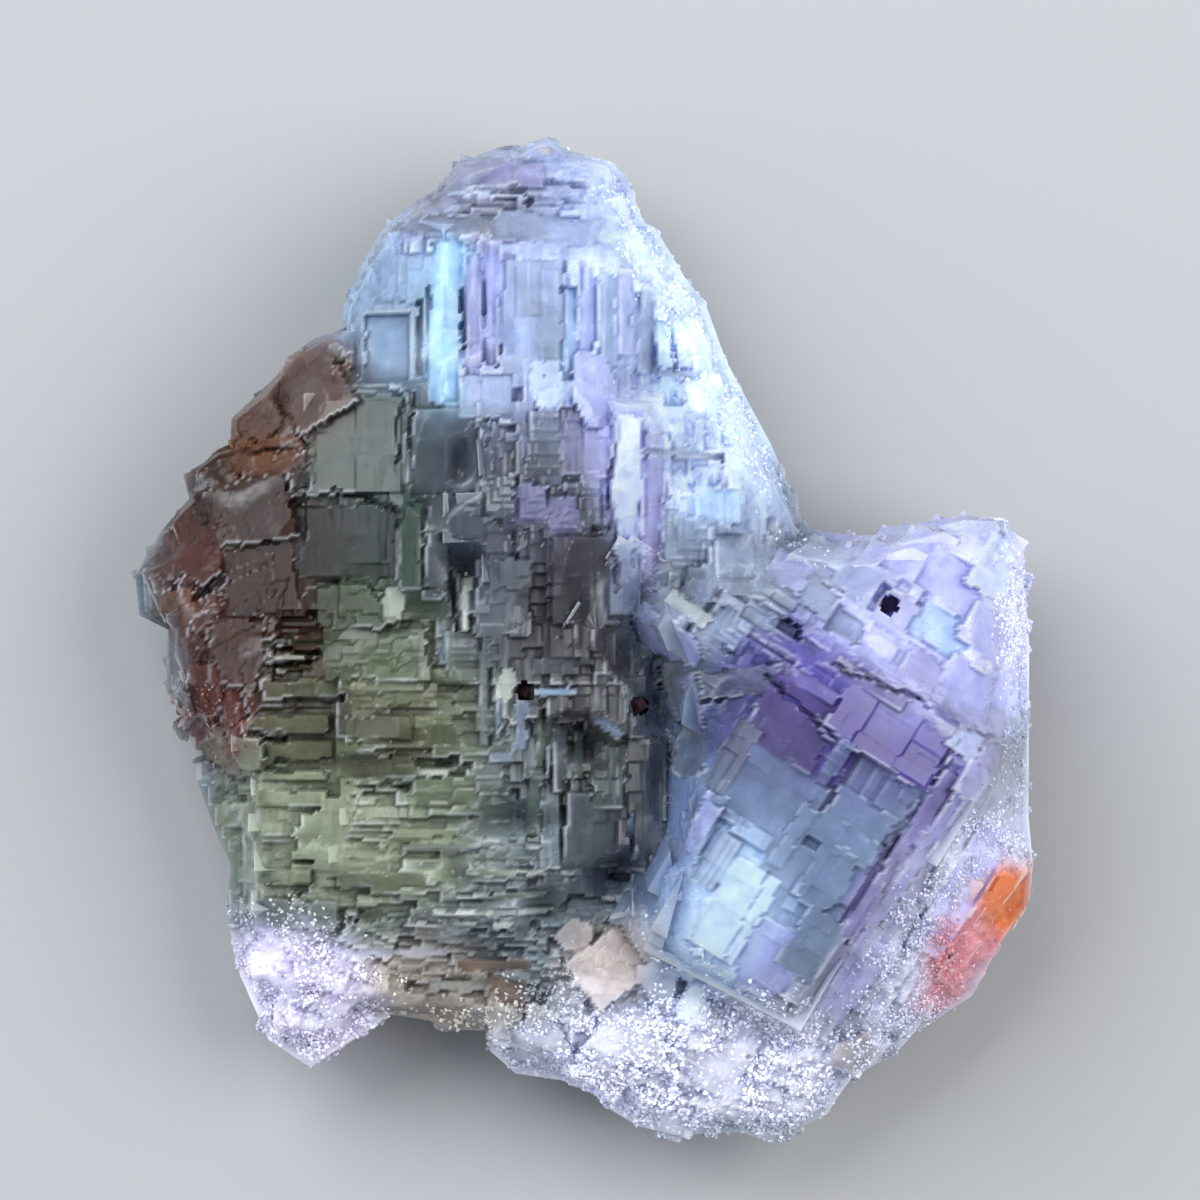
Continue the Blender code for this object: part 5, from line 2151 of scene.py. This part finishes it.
        self.tone = np.where(part, tone, self.tone)
        self.frost = np.where(part, growth.frost, self.frost)

    def press(self, plate: Plate) -> None:
        """Presses one listed plate into the face.

        Args:
            plate: The plate.
        """
        row, column = (int(k) for k in self.index(*plate.spot))
        cells = int((max(plate.size) * 0.75 + 1.0) / self.step)
        here = (
            slice(max(row - cells, 0), row + cells),
            slice(max(column - cells, 0), column + cells),
        )
        x, y = self.x[here], self.y[here]
        if not x.size:
            return
        cx, cy = self.cells(plate.turn, self.plate_jag, x, y)
        u, v = spun(x - plate.spot[0], y - plate.spot[1], math.radians(plate.turn))
        u, v = u / plate.size[0] * 2, v / plate.size[1] * 2
        ragged = self.hazy(cx * self.plate_scale, cy * self.plate_scale)
        part = plate.outline(u, v, (ragged - 0.5) * plate.ragged)
        if part.sum() < 4:
            return
        level = self.relief.over(self.relief.level, x, y)
        shape = np.column_stack((u[part], v[part], np.ones(part.sum())))
        fit = np.linalg.lstsq(shape, level[part], rcond=None)[0]
        flat = fit[0] * u + fit[1] * v + fit[2]
        over = self.relief.over(self.relief.peak, x, y) - flat
        top = float(np.percentile(over[part], self.plate_rank)) + 0.04
        flat += min(max(plate.lift * 0.5, top), self.plate_most)
        flat += plate.steps(u, v)
        flat = np.clip(flat, level - self.plate_hold[0], level + self.plate_hold[1])
        left = self.plate_rest * (self.height[here] - level)
        self.height[here] = np.where(part, flat + left, self.height[here])
        tone = 0.5 + self.plate_tone * (self.tone[here] - 0.5)
        self.tone[here] = np.where(part, tone, self.tone[here])
        own = self.own[here]
        colour = np.array(paint(*plate.shade.value))
        own[..., :3] = np.where(part[..., None], colour, own[..., :3])
        own[..., 3] = np.where(part, part * self.plate_share, own[..., 3])

    def open(self, crack: Crack) -> None:
        """Opens one crack.

        Args:
            crack: The crack.
        """
        (ax, ay), (bx, by) = crack.ends
        long = math.hypot(bx - ax, by - ay)
        u = ((self.x - ax) * (bx - ax) + (self.y - ay) * (by - ay)) / long
        v = ((self.y - ay) * (bx - ax) - (self.x - ax) * (by - ay)) / long
        bend = self.hazy(self.x / self.crack_patch, self.y / self.crack_patch) - 0.5
        v = v + bend * self.crack_bend
        wide = crack.gap * 0.5 + self.crack_edge
        share = np.clip((wide - np.abs(v)) / wide, 0, 1) * (u > -0.1) * (u < long + 0.1)
        deep = min(crack.deep, self.crack_most)
        self.height -= np.sqrt(share) * deep * min(1.0, crack.gap * self.crack_narrow)
        # Painted shade: the crack is darkened as well as cut.
        self.tone -= share * self.crack_painted_shade

    def edges(self) -> tuple[np.ndarray, np.ndarray]:
        """Painted shade at the foot of each step and painted highlight on its top edge, from 0 to
        1.

        Returns:
            How dark the painted shade is and how bright the painted highlight is at each point.
        """
        rise = self.height - self.laid(self.relief.level)
        high, lit = rise.copy(), rise.copy()
        for axis in (0, 1):
            for shift in (-1, 1):
                high = np.maximum(high, np.roll(rise, shift, axis))
            lit = np.minimum(lit, np.roll(rise, 1, axis))
        # Painted shade where a neighbour stands higher; painted highlight where this point stands
        # over the neighbour on one side.
        foot = np.clip((high - rise - self.foot[0]) / self.foot[1], 0, 1)
        painted_lip_highlight = np.clip((rise - lit - self.painted_lip_highlight[0]) / self.painted_lip_highlight[1], 0, 1)
        pale = self.hazy(self.x / self.painted_highlight_patch, self.y / self.painted_highlight_patch)
        return foot, painted_lip_highlight * (pale > self.painted_highlight_least)

    def sample(self, field: np.ndarray, x: np.ndarray, y: np.ndarray) -> np.ndarray:
        """The value of a field at the grid point nearest to each plan point."""
        return field[self.index(x, y)]

    def skin(self, number: int) -> bpy.types.Object:
        """Builds the skin as a closed slab that reaches into the crystal.

        Args:
            number: Marks its faces for the painter.

        Returns:
            The slab.
        """
        relief = self.relief
        root = self.laid(relief.low) - self.root
        base = np.maximum(self.laid(relief.under) + self.over_back, self.floor)
        root = np.minimum(np.maximum(root, base), self.height - self.thin)
        fits = self.keep & (self.laid(relief.depth) > self.inset)
        fits &= (self.height - base > self.least_depth) & (root >= base - 0.01)
        for x, y in self.pits:
            fits &= np.hypot(self.x - x, self.y - y) > self.pit
        quad = fits[:-1, :-1] & fits[1:, :-1] & fits[:-1, 1:] & fits[1:, 1:]
        for _ in range(6):
            a, b, c, d = quad[:-1, :-1], quad[:-1, 1:], quad[1:, :-1], quad[1:, 1:]
            bow = (a & d & ~b & ~c) | (b & c & ~a & ~d)
            for part in (a, b, c, d):
                part &= ~bow
        rows, columns = self.x.shape
        bpy.ops.object.select_all(action="DESELECT")
        bpy.ops.mesh.primitive_grid_add(
            x_subdivisions=columns - 1, y_subdivisions=rows - 1, size=2.0
        )
        slab = bpy.context.object
        slab.name = "skin"
        mesh = slab.data
        places = read(mesh.vertices, "co", 3)
        i = np.round((places[:, 0] + 1) / 2 * (columns - 1)).astype(int)
        j = np.round((places[:, 1] + 1) / 2 * (rows - 1)).astype(int)
        places[:, 0] = (self.x[j, i] - PLAN_MIDDLE[0]) * MM
        places[:, 1] = (self.y[j, i] - PLAN_MIDDLE[1]) * MM
        places[:, 2] = self.height[j, i] * MM
        mesh.vertices.foreach_set("co", places.ravel())
        bm = bmesh.new()
        bm.from_mesh(mesh)
        bm.faces.ensure_lookup_table()
        far = []
        for face in bm.faces:
            row, column = self.index(*on_plan(face.verts[0].co))
            for vertex in face.verts:
                other = self.index(*on_plan(vertex.co))
                row, column = min(row, other[0]), min(column, other[1])
            if not quad[row, column]:
                far.append(face)
        bmesh.ops.delete(bm, geom=far, context="FACES")
        top = list(bm.faces)
        lower = bmesh.ops.extrude_face_region(bm, geom=top, use_keep_orig=True)["geom"]
        for vertex in lower:
            if isinstance(vertex, bmesh.types.BMVert):
                vertex.co.z = root[self.index(*on_plan(vertex.co))] * MM
        bmesh.ops.recalc_face_normals(bm, faces=bm.faces)
        bm.to_mesh(mesh)
        bm.free()
        mesh.update()
        mark(mesh, "tone")
        mark(mesh, "skin", number)
        log.info("skin: %d faces", len(mesh.polygons))
        bpy.context.scene.collection.objects.unlink(slab)
        return slab


@dataclass(frozen=True)
class Druse:
    """A dusting of sub-millimetre crystals over a zone.

    Attributes:
        name: Name of the piece.
        count: How many grains it has.
        grain: Least and greatest grain, in millimetres.
        zones: Ovals that it covers.
        finish: Its finish.
        clump: Size of the clumps, in millimetres.
        clump_least: Noise value from which a face lies in a clump.
        loose: Share of grains outside the clumps.
        lean: Least upward share of the normal of a face that carries grains.
        lowest: Lowest place of a grain, in millimetres.
        largest: Area of the largest face that carries grains, in square millimetres.
    """

    name: str
    count: int
    grain: Point
    zones: tuple[Tint, ...]
    finish: SugarFinish = SugarFinish()
    clump: ClassVar[float] = 1.6
    clump_least: ClassVar[float] = 0.42
    loose: ClassVar[float] = 0.15
    lean: ClassVar[float] = -0.2
    lowest: ClassVar[float] = 1.5
    largest: ClassVar[float] = 2.0

    def model(self) -> bpy.types.Mesh:
        """A small cube with three corners off.

        Returns:
            The mesh.
        """
        bench = Bench(self.name + "_grain").split((0.2, 0.2, -0.2), (0.6, 0.6, 0.6), True)
        bench.split((-0.25, -0.25, -0.25), (-0.6, -0.6, 0.6), True)
        return bench.split((-0.25, 0.25, -0.75), (-0.6, 0.6, -0.6), True).done()

    @staticmethod
    def spot(ring: np.ndarray, draw: np.random.Generator) -> np.ndarray:
        """A random spot inside one face, so that no grain leaves the crystal.

        Args:
            ring: The face's corners in order.
            draw: The random draws.

        Returns:
            The spot.
        """
        near = draw.integers(1, len(ring) - 1)
        out, across = np.sqrt(draw.random()), draw.random()
        edge = (1.0 - across) * ring[near] + across * ring[near + 1]
        return (1.0 - out) * ring[0] + out * edge

    def make(
        self, crystal: bpy.types.Object, painter: Painter, terrains: Sequence[Terrain]
    ) -> None:
        """Scatters the grains over the crystal's face.

        Args:
            crystal: The finished crystal.
            painter: What tints them.
            terrains: The stepped skins.
        """
        draw = np.random.default_rng(SEED + self.count)
        faces = crystal.data.polygons
        centre, normal = read(faces, "center", 3), read(faces, "normal", 3)
        area, points = read(faces, "area"), read(crystal.data.vertices, "co", 3)
        x, y = plan_of(centre)
        share = np.zeros(len(faces))
        for zone in self.zones:
            share = np.maximum(share, painter.share(zone, x, y))
        clump = terrains[0].hazy(x / self.clump, y / self.clump) > self.clump_least
        for zone in BARE:
            share = share * (1.0 - painter.share(zone, x, y))
        weight = area * share * (self.loose + clump) * (normal[:, 2] > self.lean)
        weight *= centre[:, 2] > self.lowest * MM
        weight = np.where(area < self.largest * MM * MM, weight, 0.0)
        picked = draw.choice(len(faces), self.count, p=weight / weight.sum())
        model = self.model()
        corners = np.array([vertex.co for vertex in model.vertices]) + (0.0, 0.0, 0.5)
        shapes = [tuple(face.vertices) for face in model.polygons]
        spots, sides = [], []
        for index, face in enumerate(picked):
            size = draw.uniform(*self.grain) * MM
            turned = Euler(draw.uniform(0.0, 6.28, 3)).to_matrix()
            spot = self.spot(points[list(faces[int(face)].vertices)], draw)
            spots.append(corners * size @ np.array(turned).T + spot)
            sides += [tuple(i + index * len(corners) for i in shape) for shape in shapes]
        mesh = bpy.data.meshes.new(self.name)
        mesh.from_pydata(np.concatenate(spots).tolist(), [], sides)
        mark(mesh, "skin")
        mark(mesh, "tone", np.repeat(draw.random(self.count), len(shapes)))
        painter.paint(mesh, terrains)
        mesh.materials.append(self.finish.make())
        piece = bpy.data.objects.new(self.name, mesh)
        bpy.context.scene.collection.objects.link(piece)
        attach(piece, "root")
        log.info("%s: %d faces", self.name, len(mesh.polygons))


DRUSES = (
    Druse("foot_sugar", 6400, (0.12, 0.30), (tint_of(FROSTS, "foot"),)),
    Druse("tip_sugar", 2200, (0.12, 0.28), (tint_of(FROSTS, "tip"),)),
    Druse("slope_sparkle", 1500, (0.10, 0.28), (tint_of(FROSTS, "spire_slope"),)),
    Druse(
        "band_frost",
        5200,
        (0.10, 0.24),
        (tint_of(FROSTS, "right_band"), tint_of(FROSTS, "block_edge")),
    ),
    Druse(
        "rim_druse",
        260,
        (0.12, 0.28),
        (tint_of(TINTS, "rim_red_low"), tint_of(TINTS, "smoky_plate")),
        SugarFinish("rim_druse", 0.0),
    ),
)


@dataclass
class Cluster:
    """The fluorite itself.

    Attributes:
        finish: Its finish.
        painter: What tints it.
        skirt_blocks: How many small blocks are tried on its sides.
        skirt_width: How far in from the outline they may sit, in millimetres.
        skirt_slope: Upward share of the normal of the faces that carry them.
        skirt_wobble: How far they lean from their zone's way, in degrees.
        skirt_rise: Height of the steps on them, in millimetres.
        big_share: Share of bigger blocks.
        big_width: Their least and greatest width, in millimetres.
        small_width: The same for the other blocks.
        length_share: Length of a block as a share of its width.
        stand_out: How far a block stands out, in millimetres.
        lowest: Lowest place of a block's corner, in millimetres.
        cube_turn: Turn of the large cube in degrees.
        kit: The blocks.
        blocks: The copies that are to be joined on.
    """

    finish: CrystalFinish = field(default_factory=CrystalFinish)
    painter: Painter = field(default_factory=Painter)
    skirt_blocks: int = 1600
    skirt_width: float = 1.1
    skirt_slope: Point = (-0.75, 0.72)
    skirt_wobble: float = 3.0
    skirt_rise: float = 0.25
    big_share: float = 0.12
    big_width: Point = (1.1, 1.8)
    small_width: Point = (0.4, 1.2)
    length_share: Point = (0.4, 0.9)
    stand_out: Point = (0.02, 0.30)
    lowest: float = 0.5
    cube_turn: float = -32.0
    kit: BlockKit = field(default_factory=BlockKit)
    blocks: list[bpy.types.Object] = field(default_factory=list)

    def copy_of(self, source: bpy.types.Object) -> bpy.types.Object:
        """Copies a node's mesh with its loose triangles merged.

        Args:
            source: The frame's node.

        Returns:
            The copy, with a "tone" on its faces.
        """
        mesh = source.data.copy()
        mesh.materials.clear()
        bm = bmesh.new()
        bm.from_mesh(mesh)
        bmesh.ops.remove_doubles(bm, verts=bm.verts, dist=1e-7)
        bm.to_mesh(mesh)
        bm.free()
        for name in [a.name for a in mesh.attributes if a.name.startswith(("UV", "custom"))]:
            mesh.attributes.remove(mesh.attributes[name])
        mark(mesh, "tone", 0.5)
        mark(mesh, "skin")
        crystal = bpy.data.objects.new("crystal", mesh)
        bpy.context.scene.collection.objects.link(crystal)
        return crystal

    def skirt(self, mesh: bpy.types.Mesh, relief: Relief, count: int) -> None:
        """Grows small blocks out of the sides, all round.

        Args:
            mesh: The cluster's own mesh.
            relief: The smoothed face.
            count: How many.
        """
        low, high = self.skirt_slope
        sides = [face for face in mesh.polygons if low < face.normal.z < high]
        reach = list(accumulate(face.area for face in sides))
        for _ in range(count):
            face = sides[bisect_left(reach, random.random() * reach[-1])]
            a, b, c = (mesh.vertices[i].co for i in face.vertices[:3])
            s, t = random.random(), random.random()
            if s + t > 1.0:
                s, t = 1.0 - s, 1.0 - t
            spot = a + (b - a) * s + (c - a) * t
            if relief.inside(*on_plan(spot), self.skirt_width):
                continue
            axes = nearest_region(*on_plan(spot)).lattice.axes()
            wobble = Euler([math.radians(random.gauss(0.0, self.skirt_wobble)) for _ in range(3)])
            axes = axes @ wobble.to_matrix()
            out = max(
                (axes.col[i] * sign for i in range(3) for sign in (-1, 1)),
                key=lambda axis: axis.dot(face.normal),
            )
            across = max((axes.col[i] for i in range(3)), key=lambda axis: -abs(axis.dot(out)))
            side = out.cross(across)
            big = random.random() < self.big_share
            wide = random.uniform(*(self.big_width if big else self.small_width))
            tall = wide * random.uniform(*self.length_share)
            turned = Matrix((across, side, out)).transposed()
            if turned.determinant() < 0:
                turned = Matrix((side, across, out)).transposed()
            deep = wide * 0.8 + 0.6
            spot = spot / MM + out * random.uniform(*self.stand_out)
            reachable = [
                spot + across * wide * i / 2 + side * tall * j / 2 - out * deep * k
                for i in (-1, 1)
                for j in (-1, 1)
                for k in (0, 1)
            ]
            if min(corner.z for corner in reachable) < self.lowest:
                continue
            habit = random.choice((Habit.SLAB, Habit.CORNER, Habit.STAIR, Habit.CHIP))
            self.place(
                habit if big else Habit.CHIP,
                on_plan(spot * MM),
                spot.z,
                turned,
                (wide, tall, deep),
                self.skirt_rise,
                random.random(),
            )

    def place(
        self,
        habit: Habit,
        spot: Point,
        top: float,
        axes: Matrix,
        size: tuple[float, float, float],
        rise: float,
        tone: float,
    ) -> None:
        """Puts one copy of a block in place.

        Args:
            habit: Its shape.
            spot: Its place on the plan.
            top: Height of its top.
            axes: How it lies.
            size: Its width, length and depth.
            rise: Height of the steps on its top.
            tone: Its shade, from 0 to 1.
        """
        mesh = self.kit.meshes[habit].copy()
        head, deep = self.kit.head, max(size[2], rise + 0.3)
        for vertex in mesh.vertices:
            z = vertex.co.z
            below = (-z - head) / (1.0 - head) * (deep - rise)
            vertex.co.z = z * rise / head if z > -head else -rise - below
        matrix = (axes @ Matrix.Diagonal((size[0] * MM, size[1] * MM, MM))).to_4x4()
        matrix.translation = at(*spot, top)
        mesh.transform(matrix)
        mark(mesh, "tone", tone)
        self.blocks.append(bpy.data.objects.new("growth", mesh))

    def join(self, crystal: bpy.types.Object) -> None:
        """Joins the blocks and skins to the crystal and removes them.

        Args:
            crystal: The crystal.
        """
        shelf = bpy.data.collections.new("growth")
        bpy.context.scene.collection.children.link(shelf)
        for block in self.blocks:
            shelf.objects.link(block)
        step = crystal.modifiers.new("growth", "BOOLEAN")
        step.operation = "UNION"
        step.solver = "MANIFOLD"
        step.operand_type = "COLLECTION"
        step.collection = shelf
        bpy.ops.object.select_all(action="DESELECT")
        bpy.context.view_layer.objects.active = crystal
        crystal.select_set(True)
        bpy.ops.object.modifier_apply(modifier=step.name)
        for block in self.blocks:
            mesh = block.data
            bpy.data.objects.remove(block)
            bpy.data.meshes.remove(mesh)
        bpy.data.collections.remove(shelf)
        self.blocks = []

    def make(self, source: bpy.types.Object, pits: Sequence[Point]) -> bpy.types.Object:
        """Grows the crystal from the frame's cluster.

        Args:
            source: The frame's node.
            pits: Plan points of the dark grains.

        Returns:
            The dressed crystal.
        """
        crystal = self.copy_of(source)
        relief = Relief(BVHTree.FromObject(crystal, bpy.context.evaluated_depsgraph_get()))
        turned = [region for region in REGIONS if region.lattice.turn < self.cube_turn + 5]
        square = [region for region in REGIONS if region not in turned]
        terrains = [
            Terrain(relief, pits, 0.0, square),
            Terrain(relief, pits, self.cube_turn, turned),
        ]
        self.skirt(crystal.data, relief, self.skirt_blocks)
        for number, terrain in enumerate(terrains, 1):
            self.blocks.append(terrain.skin(number))
        self.join(crystal)
        self.painter.paint(crystal.data, terrains)
        crystal.data.materials.clear()
        crystal.data.materials.append(self.finish.make())
        crystal.data.polygons.foreach_set("material_index", [0] * len(crystal.data.polygons))
        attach(crystal, "root")
        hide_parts(source.name)
        for druse in DRUSES:
            druse.make(crystal, self.painter, terrains)
        return crystal


def main() -> None:
    """Builds the specimen piece by piece and reports each."""
    logging.basicConfig(level=logging.INFO, format="%(name)s: %(message)s")
    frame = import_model()
    random.seed(SEED)
    Studio().make()
    grains = [name for name in frame["nodes"] if name.startswith("dark_grain")]
    pits = [on_plan((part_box(name)[0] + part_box(name)[1]) / 2) for name in grains]
    crystal = Cluster().make(frame["nodes"]["fluorite_cluster"], pits)
    triangles = sum(len(face.vertices) - 2 for face in crystal.data.polygons)
    log.info("crystal: %d triangles", triangles)
    grain_material = GrainFinish().make()
    for number in (1, 2, 3):
        node = frame["nodes"][f"dark_grain_{number}"]
        node.data.materials.clear()
        node.data.materials.append(grain_material)


if __name__ == "__main__":
    main()
